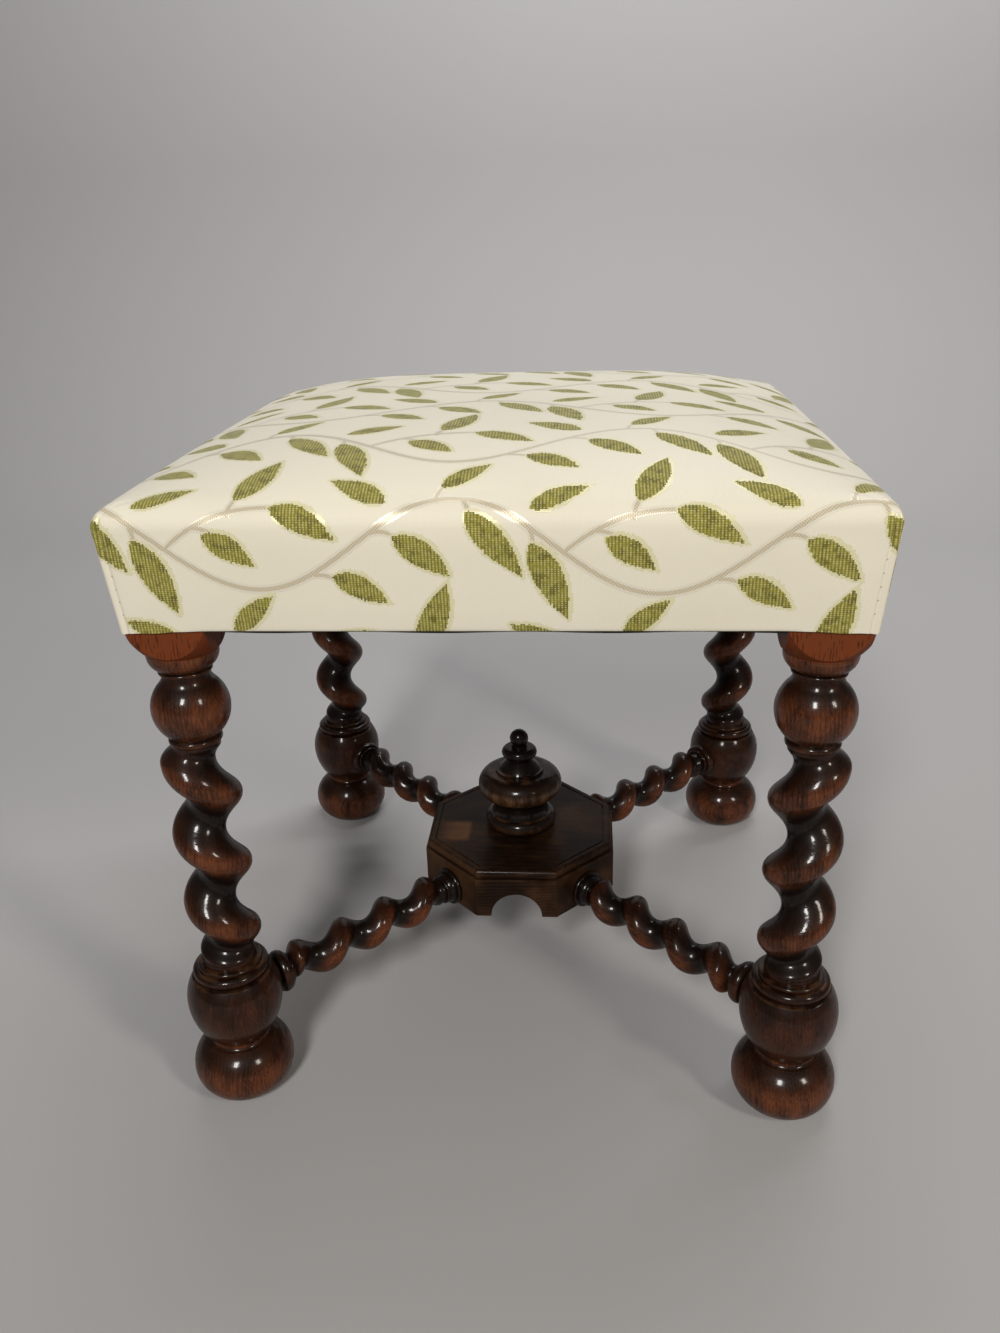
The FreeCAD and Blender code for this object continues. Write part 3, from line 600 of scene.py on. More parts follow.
def stretcher_oak(wood):
    """Polished dark oak of the twisted stretchers, with the grain along each one and dark collars."""
    def fill(shade):
        x, y, z = shade.split(shade.place())
        along = (abs(x) + abs(y)) * DIAGONAL
        across = (abs(x) - abs(y)) * DIAGONAL
        level = z - STRETCHER_LEVEL
        each_stretcher = x.op("SIGN") * 0.53 + y.op("SIGN") * 0.29
        radius = (across * across + level * level).root()
        twist = along.rise(*TWIST_START) * (1.0 - 0.7 * along.rise(*TWIST_END))
        local = shade.join(across, level, along + each_stretcher)
        grain = oak_grain(shade, wood, local, (0.040, 0.022, 0.06))
        # The upward faces of the stretchers get painted shade through Facing up
        stain = oak_stain_and_shade(shade, wood, grain, wood.stain_high, radius.rise(*STRETCHER_RUB) * twist,
                          shade.upward().rise(0.15, 0.85))
        return {"Base Color": stain["Color"], "Roughness": stain["Roughness"], "Coat Weight": stain["Gloss"],
                "Normal": grain_bump(shade, grain, 0.35, GRAIN_DEPTH)}
    return material("stretcher_oak", fill, **POLISH)


def hub_oak(wood):
    """Faded oak of the eight-sided hub, with painted shade on its top, a lighter patch on top and rubbed
    edges.
    """
    def fill(shade):
        place = shade.place()
        x, y, z = shade.split(place)
        grain = oak_grain(shade, wood, shade.join(y, z, x), (0.02, -0.06, 0.04))
        reach = abs(x).larger(abs(y)).larger((abs(x) + abs(y)) * DIAGONAL)
        top = shade.upward().rise(0.5, 0.9)
        blotch = shade.noise(place, (26, 26, 26), 3.0)
        brown = blotch.rise(0.35, 0.7) * 0.8 + 0.2 * grain["Ring"]
        hub_colour = shade.mix(brown, wood.hollow_stain_and_shade, wood.hub_brown)
        # Painted shade: faces that look up are darkened towards the hollow colour, less along light streaks
        hub_colour = shade.mix(top * (0.60 - 0.30 * grain["Streak"].rise(0.45, 0.65)), hub_colour, wood.hollow_stain_and_shade)
        patch = x.rise(*PATCH_LEFT) * (1.0 - x.rise(*PATCH_RIGHT))
        patch = patch * y.rise(*PATCH_FRONT) * (1.0 - y.rise(*PATCH_BACK)) * top
        hub_colour = shade.mix(patch * (0.20 + 0.9 * grain["Blotch"]), hub_colour, wood.hub_patch)
        hub_colour = shade.mix(grain["Pore"] * 0.6, hub_colour, wood.hollow_stain_and_shade)
        edge = abs(reach - HUB_HIGH[0]) + abs(z - (HUB_HIGH[2] - HUB_EDGE_DROP)) * 0.25
        return {"Base Color": worn_edges(shade, wood, hub_colour, edge, 1.6 * MM),
                "Roughness": 0.36 + 0.22 * grain["Streak"] + 0.1 * blotch,
                "Normal": grain_bump(shade, grain, 0.4, 1.2 * GRAIN_DEPTH)}
    return material("hub_oak", fill, Specular_IOR_Level=0.06, Coat_Weight=0.10, Coat_Roughness=0.18)


def finial_oak(wood):
    """Polished oak of the finial, rubbed brown on its cushion and foot."""
    def fill(shade):
        place = shade.place()
        x, y, z = shade.split(place)
        radius = (x * x + y * y).root()
        grain = oak_grain(shade, wood, place, (0.030, -0.045, 0.05))
        rub = shade.noise(place, (140, 140, 60), 3.0).rise(0.35, 0.65)
        brown = shade.mix(rub, wood.hub_brown, wood.worn_edge)
        # The upper half of the finial gets painted shade through Facing up
        stain = oak_stain_and_shade(shade, wood, grain, brown, radius.rise(*FINIAL_RUB),
                          shade.upward().rise(-0.05, 0.45))
        turned = worn_edges(shade, wood, stain["Color"], nearest(z, FINIAL_EDGES), 0.8 * MM)
        return {"Base Color": turned, "Roughness": stain["Roughness"] + 0.06, "Coat Weight": stain["Gloss"],
                "Normal": grain_bump(shade, grain, 0.35, GRAIN_DEPTH)}
    return material("finial_oak", fill, **POLISH)


def finish_nodes(nodes, made):
    """Give CAD nodes their finished material."""
    for node in nodes:
        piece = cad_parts[node]
        piece.data.materials.clear()
        piece.data.materials.append(made)


class STOOL_OT_turned_oak(bpy.types.Operator):
    """Stain and polish the legs, stretchers, hub and finial"""

    bl_idname = "stool.turned_oak"
    bl_label = "Turned Oak"

    def execute(self, context):
        wood = context.scene.stool_wood
        finish_nodes([corner + "_leg" for corner in CORNERS], leg_oak(wood))
        finish_nodes([corner + "_stretcher" for corner in CORNERS], stretcher_oak(wood))
        finish_nodes(["stretcher_hub"], hub_oak(wood))
        finish_nodes(["hub_finial"], finial_oak(wood))
        return {"FINISHED"}


# Hidden frame of the seat

def sawn_wood(wood):
    """Sawn and unfinished wood of the rails and braces."""
    def fill(shade):
        x, y, z = shade.split(shade.place())
        local = shade.join(z, (abs(x) - abs(y)), (abs(x) + abs(y)))
        grain = shade.group("Oak grain", Place=local, Pith=(0.09, 0.05, 0.03), Pitch=2 * wood.ring_pitch)
        pale = shade.mix(0.35 + 0.5 * grain["Ring"], darker(wood.frame_wood, 0.62), wood.frame_wood)
        pale = shade.mix(grain["Pore"] * 0.5, pale, darker(wood.frame_wood, 0.4))
        saw = (x + y).wave(2.2 * MM)
        return {"Base Color": pale, "Roughness": 0.62 + 0.2 * grain["Streak"],
                "Normal": bump(shade, saw * 0.6 + grain["Streak"], 0.12 * MM)}
    return material("sawn_wood", fill)


def dull_steel(name, wood):
    """Dull steel of the brace screws or the tacks."""
    def fill(shade):
        spots = shade.noise(shade.place(), (900, 900, 900), 3.0)
        return {"Base Color": shade.mix(spots, wood.tarnish, wood.steel), "Roughness": 0.32 + 0.3 * spots}
    return material(name, fill, Metallic=1.0)


def woven(name, tint, pitch, depth):
    """Plain woven cloth of one colour."""
    def fill(shade):
        weave = shade.group("Plain weave", Place=shade.place(), Pitch=pitch)
        return {"Base Color": shade.mix(weave["Tone"], darker(tint, 0.45), tint),
                "Roughness": 0.78 + 0.15 * weave["Height"], "Normal": bump(shade, weave["Height"], depth)}
    return material(name, fill)


class STOOL_OT_seat_frame(bpy.types.Operator):
    """Finish the rails, braces, screws, webbing and hessian inside the seat"""

    bl_idname = "stool.seat_frame"
    bl_label = "Seat Frame"

    def execute(self, context):
        wood = context.scene.stool_wood
        cloth = context.scene.stool_cloth
        rails = [side + "_rail" for side in SIDES]
        finish_nodes(rails + [corner + "_brace" for corner in CORNERS], sawn_wood(wood))
        finish_nodes(["brace_screws"], dull_steel("screw_steel", wood))
        straps = [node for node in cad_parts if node.startswith("webbing")]
        finish_nodes(straps, woven("jute_webbing", cloth.jute, 1.6 * MM, 0.5 * MM))
        finish_nodes(["seat_hessian"], woven("hessian", cloth.hessian, 2.2 * MM, 0.4 * MM))
        return {"FINISHED"}


# Stuffed and covered seat

# Steps of the grid on the top: each is a share of what is left to the edge, between two limits
GRID_SHARE = 0.16
GRID_FINEST = 1.4 * MM
GRID_WIDEST = 7.0 * MM
# Steps down the rolled edge, down the side and in under the hem
ROLL_STEPS = 8
SIDE_STEPS = 16
HEM_SHARES = (0.05, 0.2, 0.6, 1.0)
HEM_DIP = 0.25 * MM
# Half width of a square block as a share of a foot's radius, and where the hem starts to shrink beside it
BLOCK_SHARE = 0.68
HEM_TURN = LEG_PLACE - (LEG_HIGH[0] - LEG_PLACE) * BLOCK_SHARE - 3 * MM
# Over the blocks the hem shrinks to a turned-in edge, hangs a little lower and ripples
BLOCK_FADE = 4.0 * MM
BLOCK_HEM = 0.9 * MM
BLOCK_SLACK = 1.1 * MM
BLOCK_RIPPLES = ((0.35 * MM, 95.0, 0.0), (0.2 * MM, 230.0, 1.3))
SEAM_HALF_WIDTH = 1.5 * MM
SEAM_FADE = 12.0 * MM
# Outward directions of the front, right, back and left sides
OUTWARD = ((0, -1), (1, 0), (0, 1), (-1, 0))


def smooth_mesh(name, verts, faces):
    """Mesh with smooth shading."""
    mesh = bpy.data.meshes.new(name)
    mesh.from_pydata(verts, [], faces)
    mesh.validate()
    mesh.update()
    mesh.shade_smooth()
    return mesh


def grid_lines(half):
    """Places of the grid lines across the seat: fine towards the edges and wider in the middle."""
    places = [0.0]
    while places[-1] < half:
        step = GRID_SHARE * (half - places[-1])
        places.append(places[-1] + max(GRID_FINEST, min(GRID_WIDEST, step)))
    scale = half / places[-1]
    right = [place * scale for place in places]
    return [-place for place in reversed(right[1:])] + right


def rounded(x, y, half, radius):
    """A point on a square, moved onto the same square with round corners, and its outward normal."""
    centre = half - radius
    if abs(x) <= centre or abs(y) <= centre:
        normal = Vector((1, 0)) if abs(x) > abs(y) else Vector((0, 1))
        return x, y, Vector((math.copysign(normal.x, x), math.copysign(normal.y, y)))
    toward = Vector((abs(x) - centre, abs(y) - centre)).normalized()
    normal = Vector((math.copysign(toward.x, x), math.copysign(toward.y, y)))
    return math.copysign(centre, x) + radius * normal.x, math.copysign(centre, y) + radius * normal.y, normal


class SeatSkin:
    """Skin of the stuffed seat at some inset: a domed grid, a rolled edge, four sides and a hem."""

    def __init__(self, seat, inset, hem_level, hem_width):
        self.seat = seat
        self.inset = inset
        self.hem_level = hem_level
        self.hem_width = hem_width
        self.widest = COVER_HIGH[0] + seat.belly - inset
        self.flat = COVER_HIGH[0] - seat.roll_inset - inset
        self.lines = grid_lines(self.flat)
        self.verts = []
        self.faces = []
        self.cloth = []
        self.seams = []

    def dome(self, x, y):
        """Height of the dome and its slope across and along."""
        seat = self.seat
        s = x / seat.dome_reach
        t = y / seat.dome_reach
        ear = seat.front_ear if y < 0 else seat.back_ear
        level = seat.dome_edge - self.inset + seat.dome_rise * (1 - s ** 4) * (1 - t ** 4)
        level += ear * (s * t) ** 4
        steep = 4 / seat.dome_reach
        across = steep * s ** 3 * (ear * t ** 4 - seat.dome_rise * (1 - t ** 4))
        along = steep * t ** 3 * (ear * s ** 4 - seat.dome_rise * (1 - s ** 4))
        return level, across, along

    def top(self):
        """Build the grid of the domed top, and return its border in order round the seat."""
        n = len(self.lines)
        for y in self.lines:
            for x in self.lines:
                square = max(abs(x), abs(y))
                radius = self.seat.corner * (square / self.flat) ** 8
                px, py, normal = rounded(x, y, square, min(radius, square))
                self.verts.append((px, py, self.dome(px, py)[0]))
        for j in range(n - 1):
            for i in range(n - 1):
                corners = (j * n + i, j * n + i + 1, (j + 1) * n + i + 1, (j + 1) * n + i)
                self.faces.append(corners)
                self.cloth.append([(self.lines[k % n], self.lines[k // n]) for k in corners])
        last = n - 1
        border = [(i, 0) for i in range(last)] + [(last, j) for j in range(last)]
        return border + [(last - i, last) for i in range(last)] + [(0, last - j) for j in range(last)]

    def steps(self, slope, radius, drop, tuck):
        """Points down the side from where the roll starts: outward reach, fall, and length of cloth."""
        points = []
        for k in range(1, ROLL_STEPS + 1):
            angle = slope + (math.pi / 2 - slope) * k / ROLL_STEPS
            reach = radius * (math.sin(angle) - math.sin(slope))
            fall = radius * (math.cos(slope) - math.cos(angle))
            points.append((reach, fall, radius * (angle - slope)))
        reach, fall, run = points[-1]
        side = drop - fall
        for k in range(1, SIDE_STEPS + 1):
            share = k / SIDE_STEPS
            points.append((reach - self.seat.lean * share, fall + side * share, run + side * share))
        reach, fall, run = points[-1]
        for share in HEM_SHARES:
            dip = HEM_DIP * min(1.0, share / HEM_SHARES[1])
            points.append((reach - tuck * share, fall + dip, run + tuck * share))
        return points

    def column(self, i, j):
        """Points down from a border point: vertex, length of cloth, and spread past the top's grid."""
        seat = self.seat
        x, y = self.lines[i], self.lines[j]
        px, py, normal = rounded(x, y, self.flat, seat.corner)
        level, across, along = self.dome(px, py)
        slope = math.atan(max(0.0, -(across * normal.x + along * normal.y)))
        radius = (self.widest - self.flat) / (1 - math.sin(slope))
        place = min(abs(x), abs(y))
        over_block = min(1.0, max(0.0, (place - HEM_TURN) / BLOCK_FADE))
        tuck = self.hem_width + (BLOCK_HEM - self.hem_width) * over_block
        ripple = sum(high * math.sin(place * rate + start) for high, rate, start in BLOCK_RIPPLES)
        hem = self.hem_level - over_block * (BLOCK_SLACK + 2 * ripple)
        crease = 0.0
        if abs(y) > abs(x):
            crease = max(0.0, 1 - abs(self.flat - place - seat.seam_place) / SEAM_HALF_WIDTH)
        points = []
        for reach, fall, run in self.steps(slope, radius, level - hem, tuck):
            half = self.flat + reach - crease * seat.seam_depth * min(1.0, fall / SEAM_FADE)
            grow = half / self.flat
            sx, sy, facing = rounded(x * grow, y * grow, half, seat.corner)
            self.verts.append((sx, sy, level - fall))
            points.append((len(self.verts) - 1, run, 1 + reach / self.flat))
        if crease > 0.5:
            self.seams.append([index for index, run, spread in points])
        return points

    def spot(self, start, column, depth, side):
        """Vertex at a depth of the column below a border point, with its place on the cloth of one side."""
        i, j = start
        x, y = self.lines[i], self.lines[j]
        if depth < 0:
            return j * len(self.lines) + i, (x, y)
        index, run, spread = column[depth]
        out_x, out_y = OUTWARD[side]
        if out_x:
            return index, (x + out_x * run, y * spread)
        return index, (x * spread, y + out_y * run)

    def build(self, name):
        """Mesh of the whole skin with its flat cloth places."""
        border = self.top()
        columns = [self.column(i, j) for i, j in border]
        for k in range(len(border)):
            pair = (k, (k + 1) % len(border))
            side = k // (len(self.lines) - 1)
            for depth in range(len(columns[0])):
                upper = [self.spot(border[c], columns[c], depth - 1, side) for c in pair]
                lower = [self.spot(border[c], columns[c], depth, side) for c in pair]
                quad = (upper[0], lower[0], lower[1], upper[1])
                self.faces.append(tuple(index for index, place in quad))
                self.cloth.append([place for index, place in quad])
        mesh = smooth_mesh(name, self.verts, self.faces)
        layer = mesh.attributes.new("cloth", "FLOAT_VECTOR", "CORNER")
        flat = [part for face in self.cloth for u, v in face for part in (u, v, 0.0)]
        layer.data.foreach_set("vector", flat)
        return mesh


def add_piece(name, mesh, finish):
    """New piece of the stool with its finish, riding on the one body."""
    piece = bpy.data.objects.new(name, mesh)
    bpy.context.scene.collection.objects.link(piece)
    mesh.materials.clear()
    mesh.materials.append(finish)
    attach(piece, "root")
    return piece


CLOTH_SETTINGS = {
    "quality": 6,
    "mass": 0.25,
    "tension_stiffness": 25.0,
    "compression_stiffness": 25.0,
    "shear_stiffness": 8.0,
    "bending_stiffness": 1.5,
    "use_pressure": True,
    "uniform_pressure_force": 0.15,
}
CLOTH_STEPS = 20
# Height of the band above the hem that is held while the cloth swells
HELD_BAND = 3.0 * MM


def swell_cloth(piece, held_below, cap):
    """Swell a skin with simulated cloth, held below a level, each point within a cap of its start."""
    mesh = piece.data
    start = [vert.co.copy() for vert in mesh.vertices]
    outward = [vert.normal.copy() for vert in mesh.vertices]
    held = piece.vertex_groups.new(name="held")
    held.add([vert.index for vert in mesh.vertices if vert.co.z < held_below], 1.0, "REPLACE")
    cloth = piece.modifiers.new("Cloth", "CLOTH")
    for name, value in CLOTH_SETTINGS.items():
        setattr(cloth.settings, name, value)
    cloth.settings.vertex_group_mass = "held"
    cloth.settings.effector_weights.gravity = 0.0
    cloth.collision_settings.use_collision = False
    scene = bpy.context.scene
    for step in range(1, CLOTH_STEPS + 1):
        scene.frame_set(step)
    solved = piece.evaluated_get(bpy.context.evaluated_depsgraph_get()).data
    moved = [solved.vertices[k].co - start[k] for k in range(len(start))]
    piece.modifiers.remove(cloth)
    scene.frame_set(1)
    for vert, begin, move, normal in zip(mesh.vertices, start, moved, outward):
        outer = move - normal * min(0.0, move.dot(normal))
        far = outer.length
        vert.co = begin + outer * (cap * math.tanh(far / cap) / far if far > 0 else 0.0)
    piece.vertex_groups.remove(held)
    mesh.update()


def thicken(piece, thickness, offset=-1.0):
    """Give a skin its thickness, inwards unless told otherwise."""
    solid = piece.modifiers.new("Thickness", "SOLIDIFY")
    solid.thickness = thickness
    solid.offset = offset


def smooth_once(piece):
    """Smooth a skin by one level of subdivision."""
    smooth = piece.modifiers.new("Smooth", "SUBSURF")
    smooth.levels = 1
    smooth.render_levels = 1


# Leaves of one repeat, read off the photo: stem end, tip and width in millimetres, and bend
LEAVES = (
    ((-133, -22), (-104, -41), 17.5, 0.16),
    ((-94, -6), (-56, -25), 17.5, 0.22),
    ((-60, -46), (-28, -63), 17.0, 0.18),
    ((-24, -22), (8, -46), 18.5, 0.16),
    ((17, -8), (49, -46), 19.0, 0.10),
    ((53, -25), (74, -72), 21.0, 0.10),
    ((113, -1), (131, 43), 20.0, -0.10),
    ((3, 9), (30, 34), 15.0, 0.12),
    ((-28, -3), (-63, 17), 18.0, -0.14),
    ((53, -6), (87, 11), 15.5, 0.18),
)
# Short stems of one repeat, read off the photo: both ends and the bend, in millimetres
STEMS = (
    ((72, -30), (142, -7), 8.0),
    ((88, -18), (102, -22), 1.0),
    ((-71, -46), (-59, -48), 1.0),
    ((-41, -23), (-22, -23), 3.5),
    ((51, -15), (54, -26), 1.0),
    ((14, 0), (18, -9), 1.0),
    ((109, -12), (113, 0), 0.5),
    ((0, -1), (4, 10), 1.0),
)
VINE_LAG = 10.0 * MM
VINE_SWING = 27.5 * MM
VINE_HALF_WIDTH = 1.35 * MM
STEM_HALF_WIDTH = 1.15 * MM
# Share of a leaf's width that its outline formula takes as the half width
LEAF_FULLNESS = 0.43
# How far the yarns of a leaf's edge stray across and along the cloth
STRAY_ACROSS = 1.6 * MM
STRAY_ALONG = 2.2 * MM
WEFT_PITCH = 1.3 * MM
SATIN_PITCH = 0.62 * MM
SOIL_TINT = (0.80, 0.79, 0.74)


def figure_values(cloth, start, end):
    """Centre, axis and half length of a leaf or stem between two points of a row, in metres."""
    first = Vector(start) * MM
    last = Vector(end) * MM
    middle = (first + last) / 2 + Vector((cloth.start_x, cloth.start_y))
    along = (last - first).normalized()
    return {"Centre": (middle.x, middle.y, 0.0), "Axis": (along.x, along.y, 0.0),
            "Half_length": (last - first).length / 2}


def any_of(figures, name):
    """One where the named mask of any figure is one."""
    mask = figures[0][name]
    for figure in figures[1:]:
        mask = mask.larger(figure[name])
    return mask


def leaf_trail(shade, cloth, drawn_at, woven_at):
    """Masks of the trail: its stems, the satin along them, its leaves and their green bodies."""
    repeats = {"Repeat": cloth.repeat, "Row": cloth.row}
    stems = [shade.group("Vine", Cloth=drawn_at, Start_x=cloth.start_x + VINE_LAG, Start_y=cloth.start_y,
                         Swing=VINE_SWING, Half_width=VINE_HALF_WIDTH, **repeats)]
    for start, end, bend in STEMS:
        stems.append(shade.group("Short stem", Cloth=drawn_at, Half_width=STEM_HALF_WIDTH, Bend=bend * MM,
                                 **figure_values(cloth, start, end), **repeats))
    leaves = []
    for start, end, width, bend in LEAVES:
        leaves.append(shade.group("Leaf", Cloth=woven_at, Half_width=width * LEAF_FULLNESS * MM, Bend=bend,
                                  **figure_values(cloth, start, end), **repeats))
    return any_of(stems, "Stem"), any_of(stems, "Satin"), any_of(leaves, "Leaf"), any_of(leaves, "Body")


def leaf_green(shade, cloth, u, v, spot, snapped):
    """Colour and pile of the green chenille: painted shade between its ribs and pale painted highlight flecks
    on them, over random dark patches.
    """
    rib = u.wave(cloth.rib)
    weft = v.wave(WEFT_PITCH)
    fleck = shade.noise(spot, (1050, 330, 1), 2.0)
    dash = shade.noise(snapped, (700, 520, 1), 1.0, 5.0)
    patch = shade.noise(spot, (150, 150, 1), 2.0, 3.0)
    # Painted shade: the green darkens where the rib wave is low; the flecks and patches are random tone
    green = shade.mix(0.50 * rib + 0.20 * weft + 0.75 * fleck, cloth.leaf_dark, cloth.leaf_body)
    green = shade.mix(patch.rise(0.46, 0.66) * 0.60, green, cloth.leaf_dark)
    # Painted highlight: pale flecks where rib and weft crests meet
    lit = rib.rise(0.35, 0.85) * weft.rise(0.25, 0.75) * dash.rise(0.38, 0.58)
    return shade.mix(0.75 * lit, green, cloth.leaf_light), 0.45 + 0.35 * rib * fleck


def leaf_cloth(cloth):
    """Cream satin cloth with a woven trail of leaves."""
    def fill(shade):
        spot = Term(shade, shade.node("ShaderNodeAttribute", attribute_name="cloth").outputs["Vector"])
        u, along, rest = shade.split(spot)
        v = along + cloth.tilt * u
        step_u = (u / cloth.cell).op("FLOOR")
        step_v = (v / cloth.cell).op("FLOOR")
        cell_u = (step_u + 0.5) * cloth.cell
        cell_v = (step_v + 0.5) * cloth.cell
        snapped = shade.join(cell_u, cell_v, 0.0)
        stray = shade.noise(snapped, (1400, 260, 1), 1.0) - 0.5
        woven_at = shade.join(cell_u + stray * STRAY_ACROSS, cell_v + stray * STRAY_ALONG, 0.0)
        stem, silk, leaf, body = leaf_trail(shade, cloth, shade.join(u, v, 0.0), woven_at)
        satin = v.wave(SATIN_PITCH) * 0.5 + u.wave(2 * SATIN_PITCH) * 0.5
        soil = shade.noise(spot, (9, 9, 1), 3.0).rise(0.4, 0.8)
        soiled = tuple(part * share for part, share in zip(cloth.ground, SOIL_TINT))
        ground = shade.mix(0.10 + 0.16 * satin + 0.22 * soil, cloth.ground, soiled)
        knot = (step_u + step_v).op("PINGPONG", 1.0)
        green, pile = leaf_green(shade, cloth, u, v, spot, snapped)
        tint = shade.mix(stem, ground, shade.mix(0.55 * knot, cloth.vine, cloth.ground))
        tint = shade.mix(leaf, tint, shade.mix(0.65 * knot, cloth.leaf_rim, cloth.ground))
        tint = shade.mix(body, tint, green)
        silk = silk.larger((leaf - body) * 0.8)
        return {"Base Color": tint, "Roughness": 0.48 + 0.08 * satin - 0.22 * silk + 0.30 * body,
                "Metallic": 0.13 * silk,
                "Normal": bump(shade, 0.12 * satin + silk * 0.25 + body * pile, 0.42 * MM)}
    return material("leaf_cloth", fill, Specular_IOR_Level=0.32, Sheen_Weight=0.20, Sheen_Roughness=0.4)


def fibre(name, tint):
    """Loose fibre of the wadding and stuffing."""
    def fill(shade):
        place = shade.place()
        tangle = shade.noise(place, (420, 420, 420), 5.0)
        lump = shade.noise(place, (40, 40, 40), 3.0)
        return {"Base Color": shade.mix(tangle * 0.7 + lump * 0.4, darker(tint, 0.5), tint),
                "Roughness": 0.85 + 0.1 * lump, "Normal": bump(shade, tangle, 1.0 * MM)}
    return material(name, fill)


BEAD_RINGS = 5
BEAD_SIDES = 8


def beads(name, spots):
    """Mesh of many small rounded lumps, each given by its centre and three half axes."""
    verts = []
    faces = []
    for centre, first, second, third in spots:
        base = len(verts)
        for j in range(BEAD_RINGS):
            angle = math.pi * (j + 0.5) / BEAD_RINGS
            for i in range(BEAD_SIDES):
                turn = TURN * i / BEAD_SIDES
                round_about = second * math.cos(turn) + third * math.sin(turn)
                verts.append(centre + first * math.cos(angle) + round_about * math.sin(angle))
        for j in range(BEAD_RINGS - 1):
            row = base + j * BEAD_SIDES
            for i in range(BEAD_SIDES):
                following = (i + 1) % BEAD_SIDES
                faces.append((row + i, row + BEAD_SIDES + i, row + BEAD_SIDES + following, row + following))
        last_row = base + (BEAD_RINGS - 1) * BEAD_SIDES
        faces.append(tuple(base + i for i in range(BEAD_SIDES)))
        faces.append(tuple(last_row + i for i in reversed(range(BEAD_SIDES))))
    return smooth_mesh(name, verts, faces)


# Points of a seam without stitches at its upper and lower end, and the points from stitch to stitch
SEAM_SKIP_TOP = 10
SEAM_SKIP_HEM = 6
STITCH_STEP = 2
STITCH_SLANT = 0.35
THREAD_RADIUS = 0.4 * MM
THREAD_LIFT = 0.5 * MM


def seam_stitches(mesh, seam, seat):
    """Slanting stitches across a corner seam."""
    spots = []
    for index in seam[SEAM_SKIP_TOP:-SEAM_SKIP_HEM:STITCH_STEP]:
        vert = mesh.vertices[index]
        out = vert.normal.copy()
        along = Vector((math.copysign(1.0, vert.co.x), 0.0, STITCH_SLANT)).normalized()
        along = (along - out * along.dot(out)).normalized()
        up = out.cross(along)
        centre = vert.co + out * THREAD_LIFT
        spots.append((centre, along * seat.stitch, up * THREAD_RADIUS, out * THREAD_RADIUS))
    return spots


def seam_thread(cloth):
    """Twisted thread of the corner stitches."""
    def fill(shade):
        x, y, z = shade.split(shade.place())
        ply = (x + y + z).wave(0.5 * MM)
        return {"Base Color": shade.mix(ply, darker(cloth.thread, 0.5), cloth.thread),
                "Normal": bump(shade, ply, 0.05 * MM)}
    return material("seam_thread", fill, Roughness=0.6)


# The wadding lies under the cover, and ends on the outer sides of the rails
WADDING_INSET = 4.0 * MM
WADDING_DROP = 0.036
WADDING_EDGE = 0.5 * MM


class STOOL_OT_stuffing(bpy.types.Operator):
    """Make the stuffing pad and the wadding over it"""

    bl_idname = "stool.stuffing"
    bl_label = "Stuffing and Wadding"

    def execute(self, context):
        seat = context.scene.stool_seat
        cloth = context.scene.stool_cloth
        finish_nodes(["seat_stuffing"], fibre("stuffing_fibre", cloth.stuffing))
        skin = SeatSkin(seat, WADDING_INSET, RAIL_TOP - WADDING_DROP, WADDING_EDGE)
        finish = fibre("wadding_fibre", cloth.wadding)
        wadding = add_piece("wadding", skin.build("wadding"), finish)
        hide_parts("seat_wadding")
        smooth_once(wadding)
        thicken(wadding, seat.wadding_thickness)
        return {"FINISHED"}


class STOOL_OT_seat_cover(bpy.types.Operator):
    """Make the leaf cloth cover, stretched over the seat and turned under the rails"""

    bl_idname = "stool.seat_cover"
    bl_label = "Seat Cover"

    def execute(self, context):
        seat = context.scene.stool_seat
        cloth = context.scene.stool_cloth
        skin = SeatSkin(seat, 0.0, COVER_LOW[2], seat.hem_width)
        cover = add_piece("cover", skin.build("cover"), leaf_cloth(cloth))
        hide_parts("seat_cover")
        swell_cloth(cover, COVER_LOW[2] + HELD_BAND, seat.swell)
        spots = [spot for seam in skin.seams for spot in seam_stitches(cover.data, seam, seat)]
        add_piece("corner_stitches", beads("corner_stitches", spots), seam_thread(cloth))
        smooth_once(cover)
        thicken(cover, seat.cover_thickness)
        drop = seat.dome_edge - COVER_LOW[2] + seat.hem_width
        width = 2 * (COVER_HIGH[0] + drop)
        width * width - 4 * drop * drop
        return {"FINISHED"}


# The bottom cloth reaches past its solid and is notched at the blocks, and its folded edge hangs lower
BOTTOM_OVERLAP = 5.4 * MM
BOTTOM_GAP = 0.05 * MM
BOTTOM_STEPS = 44
NOTCH_ROOM = 0.6 * MM
SAG_REACH = 0.197
FOLD_WIDTH = 7.0 * MM
FOLD_DEPTH = 1.1 * MM
FOLD_WAVE = 0.5 * MM
SAG_WAVE = 0.25 * MM
# Tacks on each side of a row's middle, their distance from the cloth's edge, and their heads' depth and rise
TACKS = 4
TACK_INSET = 11.0 * MM
TACK_DEPTH = 0.6 * MM
TACK_HEIGHT = 1.0 * MM


